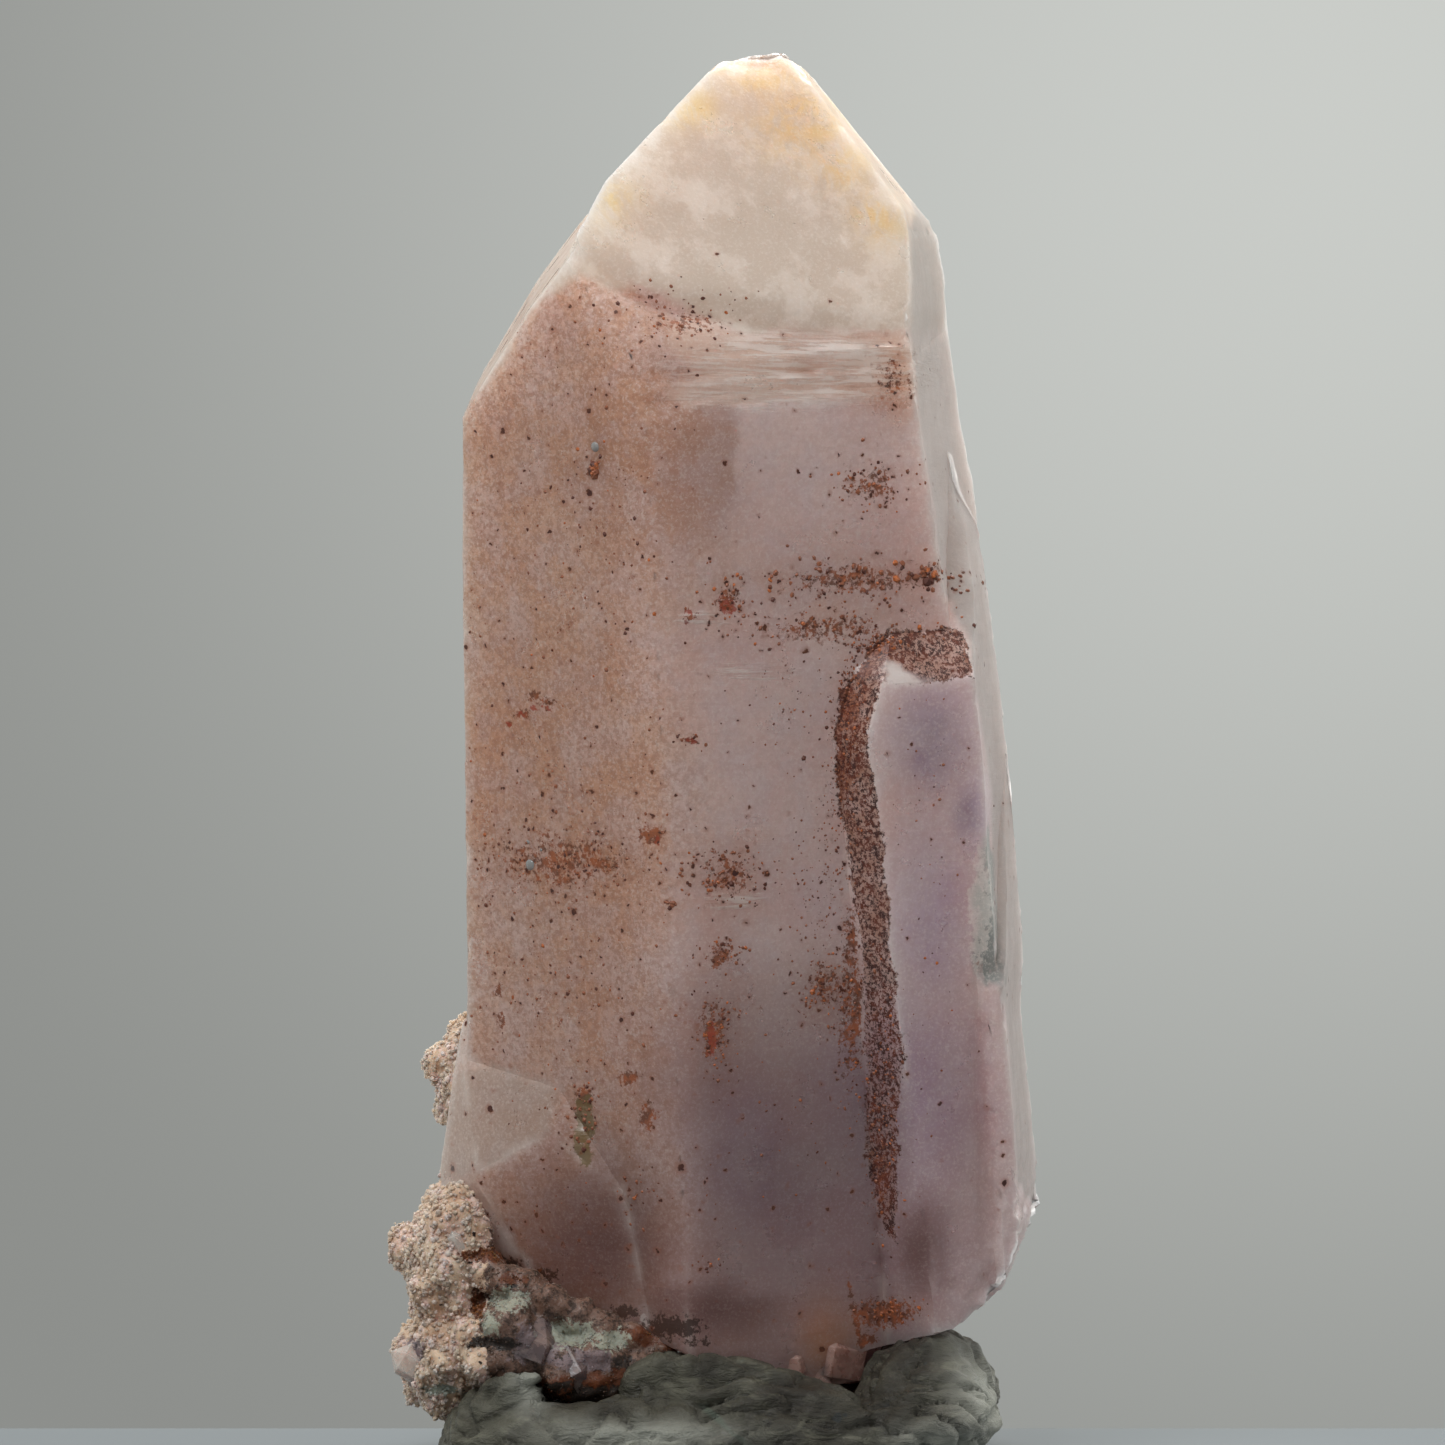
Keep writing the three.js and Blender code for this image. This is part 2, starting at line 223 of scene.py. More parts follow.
class Look:
    """A material, whose colour is painted in layers, each over the one before"""

    def __init__(self, name, colour):
        self.material = bpy.data.materials.new(name)
        self.material.use_nodes = True
        self.tree = self.material.node_tree
        self.colour = colour

    def paint(self, cover, colour):
        """Lays a colour over what is there, as far as cover goes from 0 to 1"""
        self.colour = blend(cover, self.colour, colour)

    def finish(self, **inputs):
        """Sets the inputs of the material's shader, with _ for a space in a name"""
        shader = self.tree.nodes["Principled BSDF"]
        connect(shader.inputs["Base Color"], as_colour(self.colour))
        for key, given in inputs.items():
            connect(shader.inputs[key.replace("_", " ")], given)
        return self.material

    def mask(self, name):
        return node(self.tree, "Attribute", {}, "Fac", attribute_name=name)

    def place(self, stretch=(1, 1, 1)):
        """The object's own coordinates, in metres, stretched by axis"""
        coordinates = node(self.tree, "TexCoord", {}, "Object")
        return node(self.tree, "Mapping", {"Vector": coordinates, "Scale": stretch})

    def lumps(self, size, detail=4.0, rough=0.55, where=None, twist=0.0):
        """Noise from 0 to 1 with lumps about as wide as size, in millimetres"""
        inputs = {"Vector": where or self.place(), "Scale": 1 / (size * MM), "Detail": detail}
        return node(self.tree, "TexNoise", {**inputs, "Roughness": rough, "Distortion": twist}, "Fac")

    def ruffled_place(self):
        """The object's coordinates pushed about a little, so that round shapes come out uneven"""
        where = self.place()
        noise_inputs = {"Vector": where, "Scale": 1 / RUFFLE_SIZE, "Detail": 2.0}
        shift = node(self.tree, "TexNoise", noise_inputs, "Color")
        centred = node(self.tree, "VectorMath", {0: shift, 1: (0.5, 0.5, 0.5)}, operation="SUBTRACT")
        scaled = node(self.tree, "VectorMath", {0: centred, "Scale": RUFFLE_REACH}, operation="SCALE")
        return node(self.tree, "VectorMath", {0: where, 1: scaled}, operation="ADD")

    def specks(self, spacing, radius, share, where=None):
        """1 inside dots, and 1 in their halo: dots of up to radius, in this share of the cells of a foam"""
        inputs = {"Vector": where or self.ruffled_place(), "Scale": 1 / (spacing * MM)}
        cells = node(self.tree, "TexVoronoi", inputs, "Color")
        chance = node(self.tree, "SeparateColor", {"Color": cells})
        inside = (chance * 0.7 + 0.3) * (radius / spacing) - cells.other_output("Distance")
        kept = maths("LESS_THAN", chance.other_output(1), share)
        dot = rise(inside, 0.0, 0.2 * radius / spacing)
        halo = rise(inside, -0.9 * radius / spacing, 0.1 * radius / spacing)
        return dot * kept, halo * kept

    def ragged(self, name, size, full=1.0):
        """The named mask with a crisp ragged edge, and with gaps where full is under 1"""
        return rise(self.mask(name) * full + self.lumps(size, 6, 0.7), *RAGGED_EDGE)


# Mesh building


def as_bmesh(mesh):
    shape = bmesh.new()
    shape.from_mesh(mesh)
    return shape


def add_object(name, data):
    """A new object in the scene"""
    made = bpy.data.objects.new(name, data)
    bpy.context.scene.collection.objects.link(made)
    return made


def solid_of(name):
    """A CAD node as a bmesh with flat facets, each one polygon"""
    shape = as_bmesh(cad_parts[name].data)
    bmesh.ops.remove_doubles(shape, verts=shape.verts, dist=WELD_DISTANCE)
    bmesh.ops.dissolve_limit(shape, angle_limit=FLAT_ANGLE, verts=shape.verts, edges=shape.edges)
    return shape


def new_piece(name, points, faces, material):
    mesh = bpy.data.meshes.new(name)
    mesh.from_pydata([tuple(p) for p in points], [], faces)
    mesh.materials.append(material)
    piece = add_object(name, mesh)
    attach(piece, "root")
    return piece


def tree_of(piece):
    """The faces of a piece, ready for rays to be cast at them"""
    mesh = piece.data
    return BVHTree.FromPolygons([v.co for v in mesh.vertices], [f.vertices for f in mesh.polygons])


def add_mask(piece, name, values):
    """A number for each point of a piece, which its material reads by name"""
    attribute = piece.data.attributes.new(name, "FLOAT", "POINT")
    attribute.data.foreach_set("value", np.asarray(values, np.float32))


def inside_outline(outline, spots):
    """Which spots, in the plane, are inside a closed outline"""
    within = np.zeros(len(spots), bool)
    x, y = spots[:, 0], spots[:, 1]
    for start, end in zip(np.roll(outline, 1, axis=0), outline):
        crosses = (start[1] > y) != (end[1] > y)
        rise_of_edge = (end[1] - start[1]) or 1e-12
        within ^= crosses & (x < start[0] + (end[0] - start[0]) * (y - start[1]) / rise_of_edge)
    return within


def distance_to_outline(outline, spots):
    nearest = np.full(len(spots), np.inf)
    for start, end in zip(np.roll(outline, 1, axis=0), outline):
        edge = end - start
        share = np.clip((spots - start) @ edge / max(edge @ edge, 1e-20), 0, 1)
        gap = np.linalg.norm(spots - (start + share[:, None] * edge), axis=1)
        nearest = np.minimum(nearest, gap)
    return nearest


def lattice(outline, cell):
    """Evenly spread spots inside an outline, clear of its edge"""
    low, high = outline.min(0), outline.max(0)
    rows = np.arange(low[1], high[1], cell * math.sqrt(3) / 2)
    columns = np.arange(low[0], high[0], cell)
    spots = [(x + (i % 2) * cell / 2, y) for i, y in enumerate(rows) for x in columns]
    spots = np.array(spots).reshape(-1, 2)
    spots = spots[inside_outline(outline, spots)]
    return spots[distance_to_outline(outline, spots) > RIM_GAP * cell]


class FineFacets:
    """The facets of a solid cut into small triangles that share their corners along every edge"""

    def __init__(self, shape, cell):
        self.points = []
        self.edge_gaps = []
        self.triangles = []
        self.facet_of = []
        self.normals = []
        self.cell = cell
        self.corner = {v: self.add(v.co) for v in shape.verts}
        self.along = {e: self.cut_edge(e) for e in shape.edges}
        for face in shape.faces:
            self.cut_face(face)
        for name in ("points", "edge_gaps", "triangles", "facet_of", "normals"):
            setattr(self, name, np.array(getattr(self, name)))

    def add(self, point, edge_gap=0.0):
        self.points.append(tuple(point))
        self.edge_gaps.append(edge_gap)
        return len(self.points) - 1

    def cut_edge(self, edge):
        start, end = edge.verts
        parts = max(1, round(edge.calc_length() / self.cell))
        between = [self.add(start.co.lerp(end.co, i / parts)) for i in range(1, parts)]
        return [self.corner[start], *between, self.corner[end]]

    def cut_face(self, face):
        across = face.normal.orthogonal().normalized()
        frame_2d = np.array([across, face.normal.cross(across)])
        middle = np.array(face.calc_center_median())
        border = []
        for loop in face.loops:
            ids = self.along[loop.edge]
            border += (ids if loop.vert is loop.edge.verts[0] else ids[::-1])[:-1]
        rim = (np.array([self.points[i] for i in border]) - middle) @ frame_2d.T
        outline = np.array([(np.array(v.co) - middle) @ frame_2d.T for v in face.verts])
        spots = [Vector(s) for s in rim] + [Vector(s) for s in lattice(outline, self.cell)]
        count = len(border)
        ring = [(i, (i + 1) % count) for i in range(count)]
        found, _, cut, origin, _, _ = delaunay_2d_cdt(spots, ring, [], 1, 1e-9)
        gaps = distance_to_outline(outline, np.array(found))
        ids = []
        for spot, gap, sources in zip(found, gaps, origin):
            on_rim = [i for i in sources if i < count]
            ids.append(border[on_rim[0]] if on_rim else self.add(middle + np.array(spot) @ frame_2d, gap))
        for a, b, c in cut:
            turned = (found[b] - found[a]).cross(found[c] - found[a]) < 0
            self.triangles.append((ids[a], ids[c], ids[b]) if turned else (ids[a], ids[b], ids[c]))
            self.facet_of.append(len(self.normals))
        self.normals.append(tuple(face.normal))

    def point_normals(self):
        """The mean normal of the facets that meet at each point, and whether more than one does"""
        total = np.zeros_like(self.points)
        lowest = np.full(len(self.points), len(self.normals))
        highest = np.full(len(self.points), -1)
        for column in self.triangles.T:
            np.add.at(total, column, self.normals[self.facet_of])
            np.minimum.at(lowest, column, self.facet_of)
            np.maximum.at(highest, column, self.facet_of)
        return total / np.linalg.norm(total, axis=1)[:, None], lowest != highest


# The crystal

# Marks on the side that the photograph shows: (across, down, half width, half height), in pixels
RUST_STAINS = [
    (520, 712, 14, 8), (536, 696, 12, 9), (550, 702, 10, 4), (508, 722, 9, 4), (690, 618, 9, 8),
    (628, 1080, 18, 11), (646, 1118, 14, 20), (912, 385, 5, 20), (884, 1314, 46, 22), (870, 1342, 12, 10),
    (856, 1010, 7, 70), (850, 940, 8, 40), (582, 1100, 14, 18), (585, 1140, 9, 22), (650, 835, 18, 14),
    (606, 862, 22, 9), (566, 880, 16, 7), (690, 740, 14, 5), (497, 990, 8, 10), (500, 1022, 8, 12),
    (710, 1040, 10, 30), (720, 960, 16, 12),
]
# Painted shade low on the front, where the light from above falls off
LOW_SHADE_ZONE = [(600, 1245, 110, 110), (710, 1310, 130, 50), (920, 1250, 36, 70)]
LILAC_ZONE = [
    (935, 730, 50, 70), (975, 810, 26, 60), (900, 1100, 110, 160), (930, 920, 50, 110), (740, 1160, 60, 90),
]
STREAK_ZONE = [(800, 368, 130, 40), (740, 398, 70, 12)]
THIN_STREAKS = [(758, 672, 44, 10), (735, 900, 30, 8), (700, 620, 30, 6)]
TIP_CHIP = (765, 52, 46, 15)
SCALLOPED_EDGE = [(1030, 1225, 34, 60), (985, 1305, 50, 34), (765, 52, 40, 12)]

# Outlines of areas on the same side, in pixels
HEAD_AREA = [
    (440, 0), (440, 392), (476, 392), (495, 366), (511, 336), (525, 314), (536, 296), (560, 288),
    (580, 272), (592, 280), (617, 287), (640, 287), (665, 292), (690, 312), (740, 332), (918, 330),
    (1000, 330), (1000, 0),
]
# Painted reflection: the right flank is painted pale grey for the bright room at its right; it is also more
# see-through there
RIGHT_SHEEN_AREA = [
    (913, 340), (918, 400), (945, 590), (955, 610), (970, 640), (975, 690), (990, 800), (1000, 985),
    (1010, 1010), (1016, 1100), (1022, 1180), (1035, 1200), (1100, 1200), (1100, 170), (905, 170),
    (919, 227), (916, 288),
]
BROWN_AREA = [(600, 400), (739, 400), (737, 490), (722, 535), (700, 580), (600, 600)]
CRACK_AREA = [(846, 1268), (849, 1268), (860, 1316), (863, 1352), (858, 1352), (855, 1318)]

# How far in the whole skin stands, in millimetres, so that its relief has room
SKIN_DEPTH = 0.06

# Edges that do not show, being rounded over: (across, down, half width, half height), in pixels
QUIET_EDGES = [
    (665, 700, 44, 340), (668, 1000, 44, 260), (640, 345, 60, 80), (720, 325, 120, 30), (880, 322, 60, 16),
    (600, 300, 30, 40), (914, 1215, 20, 110), (990, 1110, 14, 130),
]

# The drawn-in growths on the right flank, which are neither worn nor glossy
MATT_FLANK = [(962, 488, 30, 56), (1004, 800, 16, 80)]

# In pixels: the crystal's right outline from its shoulder to its foot, the width of the strip beside it
# that moves with it, the step between the rows compared, what a row takes in, and the most it may move
RIGHT_OUTLINE = [
    (938, 229), (945, 279), (950, 330), (962, 420), (975, 480), (990, 600), (1003, 700), (1013, 800),
    (1025, 950), (1022, 1010), (1035, 1130), (1042, 1200),
]
RIGHT_STRIP = 40
ROW_STEP = 8
ROW_REACH = 6
MOST_MOVE = 12

# The growths on the right flank that are drawn in at the top: the face above, as its azimuth, slope and
# distance, and the heights where the drawing in starts and ends
FLANK_TOPS = [
    ((81, 8.4, 16.37), (41.5, 47)),
    ((81, 5.5, 15.4), (28, 33)),
]

# The iron specks in the crystal's skin: how far apart they are and their most radius, in millimetres, and
# the share of the places that they take where they are thickest
IRON_SPECKS = [(0.36, 0.11, 0.55), (0.8, 0.18, 0.45), (1.7, 0.22, 0.3)]

# The masks of the crystal's material, by name: soft ovals, ragged outlines after their blur in pixels, and
# clean outlines
OVAL_MARKS = {
    "gold": [
        (805, 125, 50, 40), (765, 70, 50, 26), (840, 165, 30, 26), (610, 200, 24, 20), (690, 110, 26, 20),
        (880, 215, 26, 30),
    ],
    "cloud": [
        (870, 485, 44, 26), (850, 580, 110, 24), (930, 575, 26, 18), (830, 630, 110, 20),
        (730, 600, 22, 26), (728, 872, 40, 32), (725, 952, 24, 16), (828, 985, 32, 34), (716, 1030, 26, 46),
        (850, 1000, 18, 130), (850, 760, 18, 90), (880, 1170, 18, 70), (560, 860, 110, 40),
        (894, 378, 22, 32), (690, 322, 50, 14),
    ],
    "frost": [(980, 910, 18, 80), (640, 1330, 10, 20), (993, 983, 16, 3)],
    "dark": [(695, 470, 42, 80), (600, 450, 70, 60), (575, 1250, 60, 50)],
    # Wide and faint, round the densest iron stains
    "tint": [
        (565, 868, 100, 42), (640, 850, 40, 28), (545, 712, 44, 24), (630, 1090, 40, 50),
        (660, 330, 80, 44), (895, 378, 26, 40), (850, 590, 110, 46), (730, 880, 44, 40), (830, 990, 36, 44),
        (715, 1030, 26, 60), (640, 1330, 80, 30), (890, 1310, 50, 24), (575, 1130, 24, 50),
        (640, 520, 60, 120), (540, 1255, 60, 24), (826, 1335, 36, 54), (740, 1330, 60, 36),
        (560, 1235, 44, 34),
    ],
    "streak": STREAK_ZONE + THIN_STREAKS,
    "red": [
        (508, 722, 8, 4), (519, 714, 8, 5), (533, 707, 10, 4), (547, 708, 8, 4), (689, 612, 7, 4),
        (686, 622, 5, 5), (690, 741, 11, 4), (730, 605, 12, 12), (880, 652, 22, 5), (864, 690, 6, 26),
        (712, 1040, 9, 24), (655, 842, 5, 9), (470, 1302, 5, 14),
    ],
    "violet": [(935, 745, 36, 46), (968, 812, 14, 24), (780, 1180, 60, 60)],
    # Very dark brown along the crystal's foot, where it meets the rock
    "foot_dark": [
        (500, 1262, 30, 12), (545, 1274, 22, 12), (670, 1327, 48, 18), (622, 1312, 24, 10),
        (700, 1342, 24, 8),
    ],
    # Where the iron film is thick: its upper left curve, and the edge of its level part
    "dense": [
        (880, 648, 24, 9), (860, 668, 14, 16), (846, 705, 12, 30), (838, 765, 9, 44), (970, 655, 6, 22),
        (930, 630, 40, 4), (872, 1180, 8, 40),
    ],
    "peach": [(900, 376, 20, 36), (880, 395, 30, 14), (828, 1345, 30, 40)],
}
OUTLINED_MARKS = {
    "band": (5, [
        (690, 312), (740, 332), (918, 330), (918, 392), (690, 405), (668, 392), (700, 372), (665, 340),
    ]),
    "film": (7, [
        (905, 628), (960, 628), (970, 645), (974, 680), (883, 684), (872, 720), (870, 760), (886, 850),
        (894, 957), (906, 1058), (900, 1121), (898, 1176), (898, 1250), (878, 1217), (866, 1176), (868, 1121),
        (862, 1058), (861, 957), (841, 820), (832, 760), (843, 690), (866, 648), (890, 630),
    ]),
    # A painted highlight: the clean patch inside the film is painted white where its riser reflects the light
    # above
    "bare": (3, [(886, 657), (884, 685), (936, 682)]),
    "olive": (5, [(572, 1098), (592, 1092), (596, 1130), (590, 1165), (576, 1168), (570, 1130)]),
    # The clear window in the right flank; its grey is the room painted in as though seen through it
    "window": (3, [
        (989, 824), (977, 861), (974, 904), (976, 954), (978, 987), (997, 979), (1007, 984), (1004, 954),
        (1000, 911), (994, 851),
    ]),
}
CUT_MARKS = {
    "grey": [(455, 1075), (490, 1066), (558, 1089), (548, 1133), (493, 1167), (475, 1173), (430, 1181)],
    "white": [(430, 1181), (468, 1177), (483, 1196), (523, 1259), (486, 1249), (453, 1216)],
}


def patches(across, down, spots):
    """How strongly a list of soft oval patches covers each place of the photograph"""
    cover = np.zeros(len(across))
    for x, y, wide, high in spots:
        away = ((across - x) / wide) ** 2 + ((down - y) / high) ** 2
        cover = np.maximum(cover, np.exp(-away))
    return cover


def area(across, down, outline, blur):
    """1 inside an outline in the photograph and 0 outside, with a soft edge blur pixels wide"""
    spots = np.array([across, down]).T
    outline = np.array(outline, float)
    gap = distance_to_outline(outline, spots)
    signed = np.where(inside_outline(outline, spots), gap, -gap)
    return smooth_step(-blur, blur, signed)


def face_normal(azimuth, slope):
    a, s = math.radians(azimuth), math.radians(slope)
    return np.array([math.cos(s) * math.sin(a), -math.cos(s) * math.cos(a), math.sin(s)])


def draw_in_flanks(points):
    """The tops of the growths on the right flank drawn in, so that they run into the faces above"""
    turn = np.array(Matrix.Rotation(LEAN, 3, "X"))
    for (azimuth, slope, distance), heights in FLANK_TOPS:
        place_mm = in_crystal_frame(points)
        normal = face_normal(azimuth, slope)
        beyond = np.maximum(place_mm @ normal - distance, 0)
        share = smooth_step(*heights, place_mm[:, 2])
        points = points - (beyond * share)[:, None] * (turn @ normal) * MM
    return points


def follow_outline(points):
    """Points by the right outline moved across a little, so that it runs as it does in the photograph"""
    across, down = photo_place(points)
    wanted, heights = np.array(RIGHT_OUTLINE, float).T
    rows = np.arange(heights[0], heights[-1], ROW_STEP)
    reached = np.array([across[np.abs(down - row) < ROW_REACH].max() for row in rows])
    moves = np.clip(np.interp(rows, heights, wanted) - reached, -MOST_MOVE, MOST_MOVE)
    moves = np.convolve(moves, [0.25, 0.5, 0.25], "same")
    share = np.clip(1 - (np.interp(down, rows, reached) - across) / RIGHT_STRIP, 0, 1)
    share *= smooth_step(heights[0] - 20, heights[0] + 10, down)
    share *= smooth_step(heights[-1] + 30, heights[-1] - 10, down)
    moved = points.copy()
    moved[:, 0] += share * np.interp(down, rows, moves) * (points[:, 1] - CAMERA_PLACE.y) / FOCAL_PIXELS
    return moved


def crystal_relief(facets, normals, on_edge, quiet):
    """How far each point of the crystal's surface stands in from its flat face, in metres"""
    points = facets.points
    place_mm = in_crystal_frame(points)
    upright = smooth_step(0.5, 0.2, np.abs(in_crystal_frame(normals * MM + np.array(AXIS_FOOT))[:, 2]))
    fine_lines = noise_at(place_mm, (7, 7, 0.5))
    broad_lines = noise_at(place_mm, (12, 12, 1.7), 3.1)
    lines = upright * (0.022 * fine_lines + 0.03 * broad_lines)
    grain = 0.012 * noise_at(place_mm, 0.85, 1.7)
    swell = 0.05 * noise_at(place_mm, 5.5, 9.2)
    broken = smooth_step(9, 5, place_mm[:, 2]) * smooth_step(-0.1, -0.45, normals[:, 2])
    shells = -broken * (0.26 * np.abs(noise_at(place_mm, 2.6, 4.4)) + 0.1 * np.abs(noise_at(place_mm, 0.9)))
    worn = on_edge * (1 - quiet)
    chips = -worn * (0.03 + 0.13 * smooth_step(0.1, 0.6, noise_at(place_mm, 1.1, 6.3)))
    rounding = -0.3 * quiet * np.clip(1 - facets.edge_gaps / (1.2 * MM), 0, 1) ** 2
    seen = photo_place(points)
    band = smooth_step(0, -0.3, normals[:, 1]) * patches(*seen, STREAK_ZONE)
    torn = -band * 0.4 * np.abs(noise_at(place_mm, (2.2, 2.2, 0.5), 2.9))
    hollows = 0.9 * np.abs(noise_at(place_mm, 2.4, 12.4)) + 0.6 * np.abs(noise_at(place_mm, 1.1, 5.2))
    scallops = -patches(*seen, SCALLOPED_EDGE) * hollows
    height = lines + grain + swell + shells + chips + rounding + torn + scallops
    return np.minimum(height - SKIN_DEPTH, 0) * MM


def crystal_masks(facets, normals, quiet):
    """The masks that the crystal's material reads, by name"""
    points = facets.points
    seen = photo_place(points)
    across, down = uneven_place(points, 5)
    front = smooth_step(0.05, -0.2, normals[:, 1])
    place_mm = in_crystal_frame(points)
    uneven = noise_at(points / MM, 6.0, 2.3)
    back_cloud = smooth_step(0.25, 0.6, noise_at(points / MM, 4.0, 7.7)) * (1 - front)
    high = smooth_step(44, 52, place_mm[:, 2] + 2 * uneven) * (1 - front)
    masks = {}
    for name, spots in OVAL_MARKS.items():
        masks[name] = front * patches(across, down, spots)
    for name, (blur, outline) in OUTLINED_MARKS.items():
        masks[name] = front * area(across, down, outline, blur)
    for name, outline in CUT_MARKS.items():
        masks[name] = front * area(*seen, outline, 3)
    rust = front * np.maximum(patches(across, down, RUST_STAINS), area(*seen, CRACK_AREA, 2))
    masks["rust"] = rust + 0.5 * back_cloud * (1 - high)
    # Painted shade: darker towards the foot, least on the right
    low_shade = smooth_step(900, 1120, down + 30 * uneven) * smooth_step(560, 720, across + 30 * uneven)
    low_shade *= 1 - 0.6 * smooth_step(880, 930, across)
    masks["low_shade"] = front * np.maximum(0.64 * low_shade, patches(across, down, LOW_SHADE_ZONE))
    brown = area(across, down, BROWN_AREA, 4) * smooth_step(600, 700, across) * smooth_step(590, 490, down)
    masks["brown"] = front * brown
    masks["sparse"] = smooth_step(930, 1040, down)
    low = smooth_step(34, 10, place_mm[:, 2] + 6 * uneven)
    right = smooth_step(-6, 4, place_mm[:, 0] + 2 * uneven)
    lilac = (0.2 + 0.5 * right) * (0.2 + 0.6 * low)
    masks["lilac"] = np.maximum(lilac, front * patches(across, down, LILAC_ZONE))
    warm = masks["warm"] = smooth_step(1, -6, place_mm[:, 0] + 2 * uneven)
    head = masks["head"] = np.maximum(front * area(across, down, HEAD_AREA, 6), high)
    masks["few"] = (0.03 + 0.09 * warm) * (0.05 + 0.95 * front) * (1 - 0.9 * head)
    wear = np.exp(-facets.edge_gaps / (0.2 * MM)) * smooth_step(-0.5, 0.4, noise_at(points / MM, 1.6, 5.5))
    tip = masks["tip"] = patches(across, down, [TIP_CHIP])
    matt = patches(across, down, MATT_FLANK + [TIP_CHIP])
    matt = masks["matt"] = np.maximum(quiet, smooth_step(0.1, 0.5, matt))
    masks["edge"] = wear * (1 - matt) * (1 - tip)
    # Painted reflection: faces turned to the right, and the right flank in front, painted pale grey
    rightward = smooth_step(0.45, 0.6, normals[:, 0]) * (1 - front)
    masks["pale"] = np.maximum(rightward, front * area(*seen, RIGHT_SHEEN_AREA, 3))
    return masks


def paint_quartz(look):
    """The colour inside the crystal, without the iron stains on it"""
    brown = (150, 102, 76)
    frost = (226, 216, 208)
    haze = rise(look.lumps(7, 6, 0.62), 0.38, 0.66)
    clouds = rise(look.lumps(3, 6, 0.62), 0.35, 0.6)
    drift = rise(look.lumps(1.7, 6, 0.66), 0.42, 0.6, 0, 0.32)
    mottle = rise(look.lumps(0.3, 5, 0.75), 0.42, 0.58)
    frosty = rise(look.lumps(2.6, 6, 0.68), 0.46, 0.58, 0, 0.55)
    flow = look.lumps(0.9, 5, 0.7, look.place((1, 1, 0.5)), 1.0)
    scratches = rise(look.lumps(0.5, 5, 0.7, look.place((1, 1, 0.3))), 0.5, 0.62, 1, 0.6)
    sugar = rise(look.lumps(0.14, 3, 0.7), 0.5, 0.64, 0, 0.3)
    look.paint(look.mask("warm"), (196, 148, 118))
    look.paint(look.mask("lilac") * 0.85, (172, 148, 170))
    look.paint(look.mask("violet") * 0.6, (120, 96, 120))
    look.paint(haze * 0.28, frost)
    look.paint(look.mask("dark") * clouds * 0.6 | look.mask("brown") * 0.5, brown)
    look.paint(look.mask("tint") * rise(haze, 0, 1, 0.3, 0.5), (176, 118, 84))
    look.paint(drift, (202, 184, 186))
    look.paint(mottle * rise(look.mask("warm"), 0, 1, 0.14, 0.5), brown)
    # Painted shade: dark red-brown low on the crystal
    look.paint(look.mask("low_shade") * 0.9, (94, 57, 51))
    look.paint(look.mask("head"), (198, 179, 163))
    look.paint(look.mask("band") * rise(haze, 0, 1, 0.6, 0.9), (208, 176, 158))
    look.paint(look.mask("peach") * 0.75, (186, 130, 100))
    # Painted shade: brown lines between the white streaks of the steps
    look.paint(streaks(look, 0.42, 0.37) * 0.3, brown)
    look.paint(frosty * look.mask("head"), (222, 208, 196))
    look.paint(look.mask("gold") * rise(flow, 0.36, 0.6, 0.2, 0.9), (216, 184, 130))
    look.paint(look.mask("tip") * rise(flow, 0.4, 0.56, 0.7, 0.98), (150, 92, 54))
    look.paint(look.mask("grey") * 0.6, (166, 148, 136))
    # Painted reflection of the bright room on the right flank
    look.paint(look.mask("pale") * 0.75, (198, 190, 184))
    # Painted grey of the room seen through the clear window
    look.paint(look.mask("window") * scratches, (132, 134, 130))
    look.paint(sugar * rise(look.mask("low_shade"), 0, 0.8, 1, 0.3), frost)
    look.paint(whiteness(look) * 0.6, frost)


def streaks(look, low=0.48, high=0.55):
    """Thin level streaks where the layers of the point stop"""
    fine = rise(look.lumps(2.6, 6, 0.66, look.place((1, 1, 15))), low, high)
    return fine * rise(look.mask("streak"), 0.2, 0.7)


def whiteness(look):
    """How white the surface is: bruised along its edges, frosted in patches, and streaked, the streaks partly
    frost and partly painted highlight on the steps' risers, with a painted highlight on the clean patch in
    the iron film
    """
    frosted = look.ragged("frost", 0.35, 0.5) * 0.8
    return frosted | streaks(look) | look.mask("white") * 0.6 | look.mask("bare") | look.mask("edge") * 0.6


def iron_film(look, hue):
    """The thin iron film on the raised block: its colour, and how much of the surface it covers"""
    stain = blend(look.mask("dense"), (150, 108, 88), (122, 66, 42))
    grains = blend(hue, (96, 44, 28), (56, 26, 22))
    grit = rise(look.lumps(0.2, 4, 0.85), 0.455, 0.515)
    lies = look.ragged("film", 0.3, 0.56) * (1.0 - look.mask("bare"))
    thickness = rise(look.lumps(1.0, 5, 0.7), 0.3, 0.6, 0.5, 0.85)
    dense = rise(look.mask("dense"), 0.1, 0.6, 0, 0.95)
    thinning = rise(look.mask("sparse"), 0, 1, 1, 0.45)
    return blend(grit, stain, grains), lies * ((thickness | dense) * thinning | grit)


